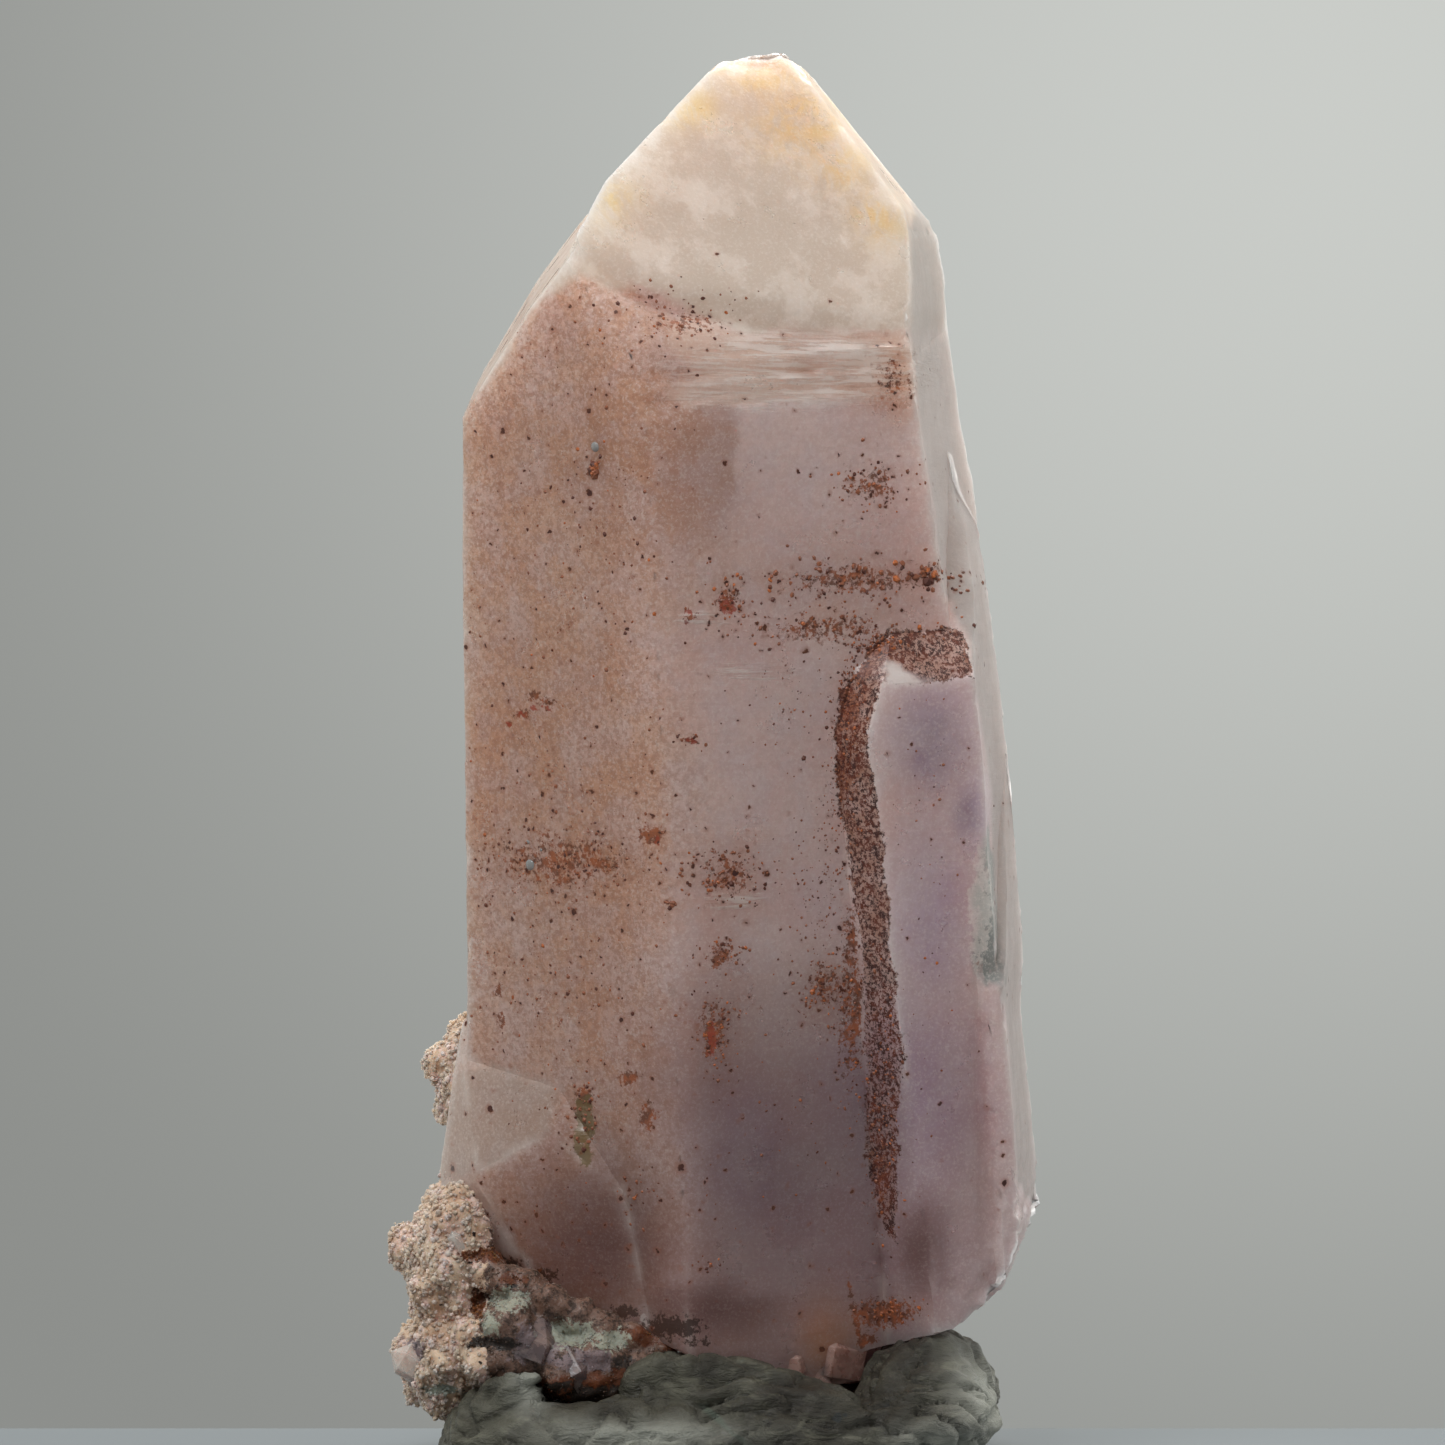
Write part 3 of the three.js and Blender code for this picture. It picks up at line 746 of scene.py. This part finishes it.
def paint_stains(look):
    """Paints the iron stains over the quartz, and tells how much of the surface they cover"""
    rust = (142, 70, 26)
    brown = (92, 48, 26)
    hue = rise(look.lumps(0.6, 4, 0.7), 0.4, 0.6)
    rusty = look.ragged("rust", 0.22, 0.5) | look.ragged("cloud", 0.26, 0.38)
    reddish = look.ragged("red", 0.2, 0.55)
    mossy = look.ragged("olive", 0.4, 0.5)
    darker_patches = look.ragged("foot_dark", 0.25, 0.5)
    look.paint(rusty * 0.92, blend(hue, rust, brown))
    look.paint(reddish * 0.85, (142, 52, 30))
    look.paint(mossy * 0.85, (96, 78, 44))
    # Very dark brown along the crystal's foot, where it meets the rock
    look.paint(darker_patches * 0.9, (50, 27, 16))
    cover = rusty | reddish | mossy | darker_patches
    cloud = look.mask("cloud")
    where = look.ruffled_place()
    for spacing, radius, share in IRON_SPECKS:
        dot, halo = look.specks(spacing, radius, cloud * share + look.mask("few"), where)
        look.paint(halo * 0.4, rust)
        look.paint(dot, blend(hue, (60, 22, 15), brown))
        cover = cover | dot
    film, filmed = iron_film(look, hue)
    look.paint(filmed, film)
    return cover | filmed


def crystal_material():
    """Cloudy quartz, cream at the head, pinkish brown on the left and lilac low on the right"""
    look = Look("cloudy_amethyst", (214, 180, 170))
    paint_quartz(look)
    bare = 1.0 - paint_stains(look)
    rough = rise(look.lumps(2.5, 5, 0.65), 0.3, 0.7, 0.24, 0.5)
    lines = look.lumps(1.0, 4, 0.6, look.place((0.12, 0.12, 3.0))) * (1.0 - look.mask("head"))
    grain = look.lumps(0.22, 3, 0.6)
    absorb = node(look.tree, "VolumeAbsorption", {"Color": to_linear(214, 188, 200), "Density": 25.0})
    connect(look.tree.nodes["Material Output"].inputs["Volume"], absorb)
    return look.finish(
        Roughness=rough + look.mask("pale") * 0.14 + look.mask("matt") * 0.3,
        Transmission_Weight=rise(look.mask("pale"), 0, 1, 0.24, 0.55) * bare,
        IOR=QUARTZ_IOR,
        Subsurface_Weight=bare * 0.8,
        Subsurface_Radius=(1.0, 0.85, 0.8),
        Subsurface_Scale=9 * MM,
        Normal=bumps((lines, 0.03), (streaks(look), 0.08), (grain, 0.018)),
    )


def make_crystal():
    facets = FineFacets(solid_of("amethyst_point"), CRYSTAL_CELL)
    normals, on_edge = facets.point_normals()
    front = smooth_step(0, -0.3, normals[:, 1])
    quiet = front * smooth_step(0.1, 0.5, patches(*photo_place(facets.points), QUIET_EDGES))
    relief = crystal_relief(facets, normals, on_edge, quiet)
    shaped = follow_outline(draw_in_flanks(facets.points)) + relief[:, None] * normals
    triangles = facets.triangles.tolist()
    piece = new_piece("crystal", inside_box(shaped), triangles, crystal_material())
    for name, values in crystal_masks(facets, normals, quiet).items():
        add_mask(piece, name, values)
    sharpen(piece, facets.facet_of, quiet)
    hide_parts("amethyst_point")
    return piece


def sharpen(piece, facet_of, quiet):
    """Smooth shading inside each facet and over the quiet edges, and a sharp edge between other facets"""
    shape = as_bmesh(piece.data)
    for face in shape.faces:
        face.smooth = True
    for edge in shape.edges:
        one, other = (f.index for f in edge.link_faces)
        edge.smooth = bool(facet_of[one] == facet_of[other] or quiet[edge.verts[0].index] > 0.5)
    shape.to_mesh(piece.data)


# The host rock


def evenly_meshed(shape, cell, rounds):
    """A shape as one evenly meshed skin, softened in rounds: its points, faces and normals"""
    mesh = bpy.data.meshes.new("draft")
    shape.to_mesh(mesh)
    piece = add_object("draft", mesh)
    skin = piece.modifiers.new("skin", "REMESH")
    skin.mode = "VOXEL"
    skin.voxel_size = cell
    even = bmesh.new()
    even.from_object(piece, bpy.context.evaluated_depsgraph_get())
    bpy.data.objects.remove(piece)
    for _ in range(rounds):
        bmesh.ops.smooth_vert(
            even, verts=even.verts, factor=0.5, use_axis_x=True, use_axis_y=True, use_axis_z=True
        )
    even.normal_update()
    points = np.array([v.co for v in even.verts])
    normals = np.array([v.normal for v in even.verts])
    faces = [[v.index for v in f.verts] for f in even.faces]
    return points, faces, normals


def inside_box(points):
    """Points kept inside the box of the CAD solids"""
    low, high = (np.array(corner) for corner in CAD_BOX)
    return np.clip(points, low, high)


GREEN_CRUST = [
    (508, 1300, 30, 18), (570, 1334, 44, 20), (612, 1340, 28, 16), (440, 1390, 28, 8), (490, 1325, 14, 20),
]
ROCK_RUST = [
    (512, 1279, 18, 8), (590, 1392, 60, 24), (546, 1392, 24, 16), (478, 1305, 10, 22), (675, 1335, 60, 18),
    (490, 1255, 40, 10), (640, 1385, 30, 20),
]
ROCK_QUARTZ = [(540, 1345, 40, 26), (585, 1362, 44, 16), (415, 1350, 14, 16)]
ROCK_DARK = [
    (505, 1344, 20, 11), (690, 1335, 30, 12), (505, 1286, 18, 4), (640, 1370, 20, 8), (560, 1385, 30, 6),
    (600, 1396, 60, 16), (622, 1360, 18, 10), (486, 1342, 26, 8),
]
GRAIN_COUNT = 14000
GRAIN_SIZES = (0.06, 0.17)

# Lumps of crust where the crystal's foot meets the rock: (across, down, depth, half size), the place in
# pixels, and the rest in millimetres
CRUST_LUMPS = [
    (505, 1284, -6.6, 1.1), (530, 1294, -6.8, 1.1), (552, 1308, -7.0, 1.2), (578, 1320, -7.2, 1.3),
    (606, 1330, -7.4, 1.2), (634, 1338, -7.4, 1.1), (664, 1346, -7.6, 0.9), (486, 1272, -6.2, 1.1),
]


def rock_material():
    """A sugary crust of small beige and pink grains, with rust, grime and a pale green skin in places"""
    look = Look("granular_rock", (222, 192, 164))
    brown = (192, 156, 128)
    dark = (40, 27, 18)
    tone = look.mask("tone")
    darker_patches = rise(look.lumps(0.5, 5, 0.75), 0.45, 0.6)
    look.paint(rise(look.lumps(1.6, 5, 0.65), 0.4, 0.6), brown)
    look.paint(rise(look.lumps(0.9, 5, 0.7), 0.48, 0.62), (234, 196, 180))
    # Painted shade in the low places of the rock's skin
    look.paint(look.mask("pit_shade") * 0.7, brown)
    look.paint(rise(tone, 0.6, 0.95, 0, 0.35), (242, 222, 210))
    look.paint(rise(tone, 0.3, 0.0, 0, 0.4), brown)
    look.paint(look.ragged("inner", 0.8, 0.7), blend(darker_patches, (116, 88, 74), (64, 46, 36)))
    look.paint(look.ragged("quartz", 0.6, 0.6), (124, 106, 106))
    look.paint(look.specks(0.5, 0.12, 0.15)[0], dark)
    look.paint(look.ragged("rust", 0.5, 0.65), (96, 48, 20))
    look.paint(look.ragged("green", 0.24, 0.52), (152, 152, 136))
    look.paint(look.ragged("dark", 0.6, 0.55), dark)
    return look.finish(
        Roughness=rise(look.lumps(0.5, 3), 0.35, 0.65, 0.3, 0.75),
        Subsurface_Weight=0.6,
        Subsurface_Radius=(1.0, 0.75, 0.6),
        Subsurface_Scale=1.6 * MM,
        Normal=bumps((look.lumps(0.35, 4, 0.7), 0.1), (look.lumps(0.1, 2), 0.03)),
    )


def icosahedron():
    """The corners and faces of a regular solid with twenty faces, of radius 1"""
    shape = bmesh.new()
    bmesh.ops.create_icosphere(shape, subdivisions=1, radius=1)
    return np.array([v.co for v in shape.verts]), np.array([[v.index for v in f.verts] for f in shape.faces])


def angular_grains(centres, sizes, chances):
    """The points and faces of one uneven, randomly turned grain at each centre"""
    corners, faces = icosahedron()
    count = len(centres)
    turns = np.linalg.qr(chances.normal(size=(count, 3, 3)))[0]
    uneven = chances.uniform(0.8, 1.1, (count, len(corners), 1))
    stretch = chances.uniform(0.65, 1.2, (count, 1, 3))
    shapes = corners * uneven * stretch * sizes[:, None, None]
    points = shapes @ turns + centres[:, None]
    turned_over = np.linalg.det(turns) < 0
    ids = faces + len(corners) * np.arange(count)[:, None, None]
    ids[turned_over] = ids[turned_over][:, :, ::-1]
    return points.reshape(-1, 3), ids.reshape(-1, 3)


def on_skin(points, faces, normals, count, chances):
    """Random spots spread over a skin of faces, with the skin's normal at each"""
    corners = np.array([face[:3] for face in faces])
    a, b, c = (points[corners[:, i]] for i in range(3))
    areas = np.linalg.norm(np.cross(b - a, c - a), axis=1)
    chosen = chances.choice(len(corners), count, p=areas / areas.sum())
    share = chances.random((count, 2, 1))
    spots = a[chosen] + share[:, 0] * (b - a)[chosen] + share[:, 1] * (c - a)[chosen]
    return spots, normals[corners[chosen, 0]]


def crust_lumps(chances):
    """Uneven lumps along the line where the crystal's foot meets the rock"""
    centres = []
    sizes = []
    for across, down, depth, size in CRUST_LUMPS:
        reach = (depth * MM - CAMERA_PLACE.y) / FOCAL_PIXELS
        x = CAMERA_PLACE.x + (across - PHOTO_SIZE / 2) * reach
        z = CAMERA_PLACE.z - (down - PHOTO_SIZE / 2) * reach
        centres.append((x, depth * MM, z))
        sizes.append(size * MM)
    return angular_grains(np.array(centres), np.array(sizes), chances)


def rock_skin():
    """The rock's skin with the crust's lumps on it, evenly meshed, and roughened by ridges and grains"""
    chances = np.random.default_rng(CRUST_SEED)
    shape = as_bmesh(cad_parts["matrix"].data)
    lump_points, lump_faces = crust_lumps(chances)
    corners = [shape.verts.new(p) for p in lump_points]
    for face in lump_faces:
        shape.faces.new([corners[i] for i in face])
    points, faces, normals = evenly_meshed(shape, ROCK_CELL, rounds=1)
    place_mm = points / MM
    ridges = 1 - np.abs(noise_at(place_mm, (1.3, 2.2, 2.6), 5.1)) * 2
    coarse = noise_at(place_mm, 0.9, 8.1)
    fine = noise_at(place_mm, 0.4, 1.3)
    height = 0.16 * ridges + 0.12 * coarse + 0.14 * fine
    return inside_box(points + height[:, None] * MM * normals), faces, normals, height


def make_rock():
    chances = np.random.default_rng(GRAIN_SEED)
    skin, skin_faces, skin_normals, height = rock_skin()
    spots, spot_normals = on_skin(skin, skin_faces, skin_normals, GRAIN_COUNT, chances)
    sizes = chances.uniform(*GRAIN_SIZES, GRAIN_COUNT) * MM * (1 - 0.6 * inner_rock(spots))
    grains, grain_faces = angular_grains(spots + spot_normals * 0.2 * sizes[:, None], sizes, chances)
    points = np.vstack([skin, inside_box(grains)])
    faces = skin_faces + (grain_faces + len(skin)).tolist()
    piece = new_piece("host_rock", points, faces, rock_material())
    smooth = np.arange(len(faces)) < len(skin_faces)
    piece.data.polygons.foreach_set("use_smooth", smooth)
    per_grain = len(grains) // GRAIN_COUNT
    tone = np.concatenate([np.full(len(skin), 0.4), np.repeat(chances.random(GRAIN_COUNT), per_grain)])
    add_mask(piece, "tone", tone)
    # Painted shade in the pits of the skin; the grains get none
    pit_shade = np.concatenate([smooth_step(0.12, -0.12, height), np.zeros(len(grains))])
    add_mask(piece, "pit_shade", pit_shade)
    rock_masks(piece, points, np.vstack([skin_normals, np.repeat(spot_normals, per_grain, axis=0)]))
    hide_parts("matrix")
    return piece


def inner_rock(points):
    """1 on the brown glassy rock under the crystal, and 0 on the grainy slab at its left"""
    return smooth_step(465, 505, uneven_place(points, 8)[0])


def rock_masks(piece, points, normals):
    across, down = photo_place(points)
    front = smooth_step(0.4, 0.0, normals[:, 1])
    place_mm = points / MM
    back = smooth_step(0.2, 0.55, noise_at(place_mm, 3.5, 3.3)) * (1 - front)
    rust = smooth_step(0.2, 0.5, noise_at(place_mm, 3.0, 8.3)) * (1 - front)
    add_mask(piece, "green", np.maximum(front * patches(across, down, GREEN_CRUST), 0.7 * back))
    add_mask(piece, "rust", np.maximum(front * patches(across, down, ROCK_RUST), 0.6 * rust))
    add_mask(piece, "dark", front * patches(across, down, ROCK_DARK))
    add_mask(piece, "quartz", front * patches(across, down, ROCK_QUARTZ))
    add_mask(piece, "inner", inner_rock(points))


# Iron flecks, fluid bubbles and small crystals

# Groups of flecks on the side that the photograph shows: (across, down, half width, half height), in
# pixels, then how many, and the least and most of their half sizes in millimetres
FLECK_GROUPS = [
    (560, 720, 92, 320, 170, 0.04, 0.12), (600, 520, 56, 90, 70, 0.05, 0.13),
    (565, 862, 98, 46, 190, 0.04, 0.14), (560, 980, 80, 60, 90, 0.05, 0.13),
    (670, 320, 72, 30, 90, 0.04, 0.13), (870, 485, 36, 24, 60, 0.06, 0.16),
    (845, 580, 100, 22, 130, 0.06, 0.2), (925, 574, 18, 18, 20, 0.14, 0.28),
    (830, 626, 108, 18, 100, 0.05, 0.17), (730, 602, 14, 20, 34, 0.06, 0.14),
    (690, 741, 14, 6, 12, 0.05, 0.13), (726, 872, 36, 26, 120, 0.05, 0.15),
    (725, 953, 20, 12, 50, 0.05, 0.14), (826, 986, 26, 28, 100, 0.05, 0.15),
    (716, 1030, 18, 42, 120, 0.04, 0.13), (850, 1030, 14, 80, 130, 0.04, 0.13),
    (840, 790, 16, 110, 170, 0.04, 0.1), (850, 690, 10, 40, 130, 0.04, 0.12),
    (880, 644, 22, 8, 110, 0.04, 0.12), (885, 1120, 14, 110, 190, 0.04, 0.11),
    (760, 1140, 60, 60, 40, 0.04, 0.11), (640, 1190, 18, 30, 24, 0.06, 0.16),
    (715, 1266, 16, 10, 14, 0.05, 0.13), (930, 900, 28, 200, 60, 0.04, 0.1),
    (555, 1150, 34, 70, 30, 0.04, 0.12), (584, 1110, 12, 34, 60, 0.06, 0.16),
    (892, 1310, 24, 10, 90, 0.04, 0.14), (593, 470, 4, 6, 14, 0.24, 0.38), (672, 905, 5, 3, 8, 0.12, 0.2),
    (803, 758, 1, 1, 2, 0.1, 0.14), (790, 700, 50, 60, 60, 0.03, 0.08), (815, 900, 26, 90, 170, 0.03, 0.09),
]

# How far flecks spread about their group, in its half sizes, and how deep each is sunk, in its own
SPREAD = 0.6
FLECK_SINK = 0.3

# The flecks on the back: how many, then their half size, how wide they spread, their least and most height,
# and how far behind they are looked for, in millimetres
BACK_FLECKS = 120
BACK_SIZE = 0.1
BACK_WIDTH = 26
BACK_HEIGHTS = (4, 42)
BEHIND = 60

# Bubbles: (across, down, radius), the place in pixels and the radius in millimetres
BUBBLES = [(595, 447, 0.34), (530, 865, 0.38), (528, 842, 0.14), (541, 850, 0.11)]
BUBBLE_SINK = 0.75

# Small crystals set in the foot and in the rock: (across, down, half width, length, lean to the right),
# the place in pixels, the sizes in millimetres and the lean in degrees
FOOT_CRYSTALS = [(796, 1366, 1.1, 1.6, -10), (842, 1358, 1.8, 2.8, 12), (824, 1376, 0.8, 1.5, 5)]
CLEAR_CRYSTALS = [(414, 1352, 0.8, 1.6, -60), (461, 1248, 0.35, 1.4, -20)]
ROCK_CRYSTALS = [(535, 1350, 1.4, 2.0, 20), (580, 1368, 1.4, 1.8, 60)]

# How the small crystals are turned, in degrees, and how deep they are sunk, in half widths
FIRST_SPIN = 25
SPIN_STEP = 40
CRYSTAL_SINK = 0.8


def fleck_material():
    dark = (84, 40, 26)
    look = Look("iron_fleck", dark)
    tone = look.mask("tone")
    look.paint(rise(tone, 0.15, 0.5), (142, 84, 56))
    look.paint(rise(tone, 0.8, 0.95), (180, 98, 48))
    look.paint(rise(look.lumps(0.1, 2), 0.4, 0.6, 0, 0.4), dark)
    return look.finish(Roughness=0.55)


def make_flecks(crystal):
    """Grains of iron oxide grown into the skin of the crystal"""
    chances = np.random.default_rng(FLECK_SEED)
    tree = tree_of(crystal)
    centres = []
    sizes = []
    for across, down, wide, high, count, least, most in FLECK_GROUPS:
        for x, y, share in zip(chances.normal(size=count), chances.normal(size=count), chances.random(count)):
            spot, normal = seen_at(tree, across + SPREAD * wide * x, down + SPREAD * high * y)
            if spot:
                size = (least + (most - least) * share**2) * MM
                centres.append(spot - normal * (FLECK_SINK * size))
                sizes.append(size)
    low, high = BACK_HEIGHTS
    for x, z in chances.random((BACK_FLECKS, 2)):
        start = Vector((BACK_WIDTH * x - BACK_WIDTH / 2, BEHIND, low + (high - low) * z)) * MM
        spot = tree.ray_cast(start, Vector((0, -1, 0)))[0]
        if spot:
            centres.append(spot)
            sizes.append(BACK_SIZE * MM)
    sizes = np.array(sizes)
    points, faces = angular_grains(np.array(centres), sizes, chances)
    piece = new_piece("iron_flecks", inside_box(points), faces.tolist(), fleck_material())
    add_mask(piece, "tone", np.repeat(chances.random(len(sizes)), len(points) // len(sizes)))


def make_bubbles(crystal):
    """Bubbles of fluid just under the skin of the crystal"""
    tree = tree_of(crystal)
    look = Look("fluid", (160, 164, 162))
    material = look.finish(Roughness=0.08, IOR=FLUID_IOR, Transmission_Weight=0.45)
    shape = bmesh.new()
    for across, down, radius in BUBBLES:
        spot, normal = seen_at(tree, across, down)
        where = Matrix.Translation(spot - normal * (BUBBLE_SINK * radius * MM))
        bmesh.ops.create_icosphere(shape, subdivisions=4, radius=radius * MM, matrix=where)
    points = [v.co for v in shape.verts]
    faces = [[v.index for v in f.verts] for f in shape.faces]
    piece = new_piece("fluid_bubbles", points, faces, material)
    piece.data.shade_smooth()


def pointed_prism(half_width, length):
    """A six-sided crystal with a six-sided point, along +Z, its middle a third of the way up"""
    turns = [math.radians(60 * i + 30) for i in range(6)]
    ring = [(half_width * math.cos(a), half_width * math.sin(a)) for a in turns]
    foot = -length / 3
    shoulder = 2 * length / 3 - 0.8 * half_width
    points = [(x, y, foot) for x, y in ring] + [(x, y, shoulder) for x, y in ring] + [(0, 0, 2 * length / 3)]
    sides = [(i, (i + 1) % 6, 6 + (i + 1) % 6, 6 + i) for i in range(6)]
    tops = [(6 + i, 6 + (i + 1) % 6, 12) for i in range(6)]
    return points, [tuple(reversed(range(6))), *sides, *tops]


def make_small_crystals(name, carrier, entries, material):
    """Small crystals where the photograph shows them, each set into the piece that carries it"""
    tree = tree_of(carrier)
    all_points = []
    all_faces = []
    for index, (across, down, half_width, length, lean) in enumerate(entries):
        spot, normal = seen_at(tree, across, down)
        points, faces = pointed_prism(half_width, length)
        spin = Matrix.Rotation(math.radians(FIRST_SPIN + SPIN_STEP * index), 3, "Z")
        turn = Matrix.Rotation(math.radians(lean), 3, "Y") @ spin
        start = len(all_points)
        middle = spot - normal * (CRYSTAL_SINK * half_width * MM)
        all_points += [middle + turn @ Vector(p) * MM for p in points]
        all_faces += [[start + i for i in face] for face in faces]
    new_piece(name, inside_box(np.array(all_points)), all_faces, material)


def small_quartz(name, colour):
    look = Look(name, colour)
    look.paint(rise(look.lumps(0.8, 5, 0.65), 0.35, 0.65, 0, 0.5), (190, 160, 148))
    return look.finish(
        Roughness=rise(look.lumps(0.4, 4), 0.35, 0.65, 0.15, 0.4),
        Transmission_Weight=0.35,
        IOR=QUARTZ_IOR,
        Subsurface_Weight=0.8,
        Subsurface_Radius=(1.0, 0.8, 0.75),
        Subsurface_Scale=1.5 * MM,
        Normal=bumps((look.lumps(0.3, 4, 0.65), 0.02)),
    )


# The mounting putty


def putty_material():
    look = Look("grey_putty", (78, 76, 63))
    warm_grey = (42, 37, 27)
    streaky = look.lumps(1.2, 4, 0.6, look.place((0.5, 0.5, 1.6)), 1.5)
    smudge = rise(look.lumps(3.5, 3, 0.6, None, 0.8), 0.62, 0.72)
    wrinkles = look.lumps(0.7, 4, 0.6, look.place((0.6, 0.6, 1.5)), 2.0)
    fibres = look.lumps(0.3, 5, 0.7, look.place((0.4, 0.4, 2.2)), 1.5)
    look.paint(rise(look.lumps(5, 4), 0.4, 0.62), warm_grey)
    look.paint(rise(streaky, 0.5, 0.7) * 0.5, (118, 116, 99))
    # Painted shade in the creases and low folds of the putty
    look.paint(look.mask("crease_shade") * 0.5, warm_grey)
    look.paint(look.specks(1.1, 0.26, 0.22)[0], (52, 56, 56))
    # A whitish piece of putty at the left, and painted light elsewhere, most on the lit right end
    look.paint(look.mask("pale_and_lit") * 0.85, (158, 159, 148))
    look.paint(look.mask("shaded") * 0.7, warm_grey)
    look.paint(smudge * 0.6, (96, 108, 96))
    return look.finish(
        Roughness=rise(look.lumps(0.8, 3), 0.35, 0.65, 0.5, 0.75),
        Subsurface_Weight=0.25,
        Subsurface_Radius=(1.0, 1.0, 0.9),
        Subsurface_Scale=0.5 * MM,
        Normal=bumps((wrinkles, 0.2), (fibres, 0.06)),
    )


# Pale patches on the putty: a whitish piece at the left, and painted light on the rest, most on the lit right
# end
PALE_AND_LIT_PUTTY = [(532, 1384, 20, 36), (984, 1400, 34, 54), (640, 1436, 90, 14), (950, 1440, 60, 16)]
SHADED_PUTTY = [(800, 1408, 80, 16), (890, 1400, 50, 26), (610, 1408, 40, 14)]
PRESSED_PUTTY = [(925, 1346, 46, 12), (700, 1368, 60, 8)]


def make_putty():
    shape = as_bmesh(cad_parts["putty"].data)
    points, faces, normals = evenly_meshed(shape, PUTTY_CELL, rounds=6)
    place_mm = points / MM
    twist = 1.2 * np.array([noise_at(place_mm, 4.0, seed) for seed in (1.1, 2.2, 3.3)]).T
    folds = np.abs(noise_at(place_mm + twist, (3.6, 3.6, 2.0), 2.2))
    creases = np.exp(-np.abs(noise_at(place_mm + twist, (2.4, 2.4, 1.2), 7.2)) / 0.05)
    lumpy = noise_at(place_mm, 2.4, 6.1)
    small = noise_at(place_mm + twist, (1.1, 1.1, 0.5), 4.7)
    pressed = patches(*photo_place(points), PRESSED_PUTTY)
    height = 0.6 * (folds - 0.2) - 0.45 * creases + 0.22 * lumpy + 0.24 * small + 0.14 + 0.6 * pressed
    flat = smooth_step(0.1, 0.9, place_mm[:, 2])
    shaped = points + (height * flat)[:, None] * MM * normals
    shaped[:, 2] = np.where(place_mm[:, 2] < 0.12, 0, shaped[:, 2])
    piece = new_piece("putty_mount", inside_box(shaped), faces, putty_material())
    piece.data.shade_smooth()
    # Painted shade: 1 in the creases and low folds
    add_mask(piece, "crease_shade", np.maximum(creases, smooth_step(0.1, 0.0, folds)))
    seen = photo_place(points)
    front = smooth_step(0.2, -0.2, normals[:, 1])
    add_mask(piece, "pale_and_lit", front * patches(*seen, PALE_AND_LIT_PUTTY))
    add_mask(piece, "shaded", front * patches(*seen, SHADED_PUTTY))
    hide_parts("putty")


# Camera, light and table

# How near and how far the camera sees, in metres
NEAREST = 0.01
FARTHEST = 10

TABLE_BACK = 12.8 * MM
TABLE_HALF_WIDTH = 400 * MM
TABLE_FRONT = -520 * MM
TABLE_THICKNESS = 12 * MM

# The direction of the brightest part of the room
GLOW_TOWARDS = (0.12, 0.99, 0.12)

# Soft round lights: name, place, what they aim at and size in millimetres, power in watts, and colour
LIGHTS = [
    ("overhead", (30, 60, 180), (0, 0, 40), 100, 0.31, (1.0, 0.98, 0.94)),
    ("front_fill", (-60, -160, 200), (0, 0, 45), 140, 0.5, (0.97, 0.98, 1.0)),
    ("right_side", (220, 60, 70), (0, 0, 30), 160, 0.15, (1.0, 1.0, 1.0)),
]


def make_camera():
    data = bpy.data.cameras.new("camera")
    data.sensor_width = SENSOR
    data.lens = SENSOR * FOCAL_PIXELS / PHOTO_SIZE
    data.clip_start = NEAREST
    data.clip_end = FARTHEST
    camera = add_object("camera", data)
    camera.location = CAMERA_PLACE
    camera.rotation_euler = (math.radians(90), 0, 0)
    bpy.context.scene.camera = camera


def make_light(name, place_mm, aim_mm, size_mm, watts, colour):
    data = bpy.data.lights.new(name, "AREA")
    data.shape = "DISK"
    data.size = size_mm * MM
    data.energy = watts
    data.color = colour
    light = add_object(name, data)
    light.location = Vector(place_mm) * MM
    aim = Vector(aim_mm) - Vector(place_mm)
    light.rotation_euler = aim.to_track_quat("-Z", "Y").to_euler()


def make_world():
    """A plain grey room, brighter behind the specimen and to its right"""
    world = bpy.data.worlds.new("room")
    bpy.context.scene.world = world
    world.use_nodes = True
    tree = world.node_tree
    direction = node(tree, "TexCoord", {}, "Generated")
    away = node(tree, "VectorMath", {0: direction, 1: GLOW_TOWARDS}, "Value", operation="DISTANCE")
    glow = rise(away, 0, 0.34, 0.62, 0.28)
    backwards = node(tree, "SeparateXYZ", {"Vector": direction}, "Y")
    around = rise(backwards, 0.95, 0.75, 0, 0.9)
    behind_specimen = rise(backwards, -0.4, 0.6, 0.2, 1)
    background = tree.nodes["Background"]
    connect(background.inputs["Color"], to_linear(250, 253, 248))
    connect(background.inputs["Strength"], (glow + around) * behind_specimen)


def make_table():
    mesh = bpy.data.meshes.new("table")
    shape = bmesh.new()
    bmesh.ops.create_cube(shape, size=1)
    for vert in shape.verts:
        vert.co.x *= 2 * TABLE_HALF_WIDTH
        vert.co.y = TABLE_BACK if vert.co.y > 0 else TABLE_FRONT
        vert.co.z = 0 if vert.co.z > 0 else -TABLE_THICKNESS
    shape.to_mesh(mesh)
    mesh.materials.append(Look("pale_table", (104, 110, 114)).finish(Roughness=0.5))
    add_object("table", mesh)


make_camera()
make_world()
make_table()
for light in LIGHTS:
    make_light(*light)
crystal = make_crystal()
rock = make_rock()
make_putty()
make_flecks(crystal)
make_bubbles(crystal)
make_small_crystals("foot_crystals", crystal, FOOT_CRYSTALS, small_quartz("pink_quartz", (150, 108, 98)))
make_small_crystals("clear_crystals", rock, CLEAR_CRYSTALS, small_quartz("clear_quartz", (226, 208, 196)))
make_small_crystals("rock_crystals", rock, ROCK_CRYSTALS, small_quartz("grey_quartz", (112, 96, 96)))
bpy.context.scene.view_settings.view_transform = "Standard"
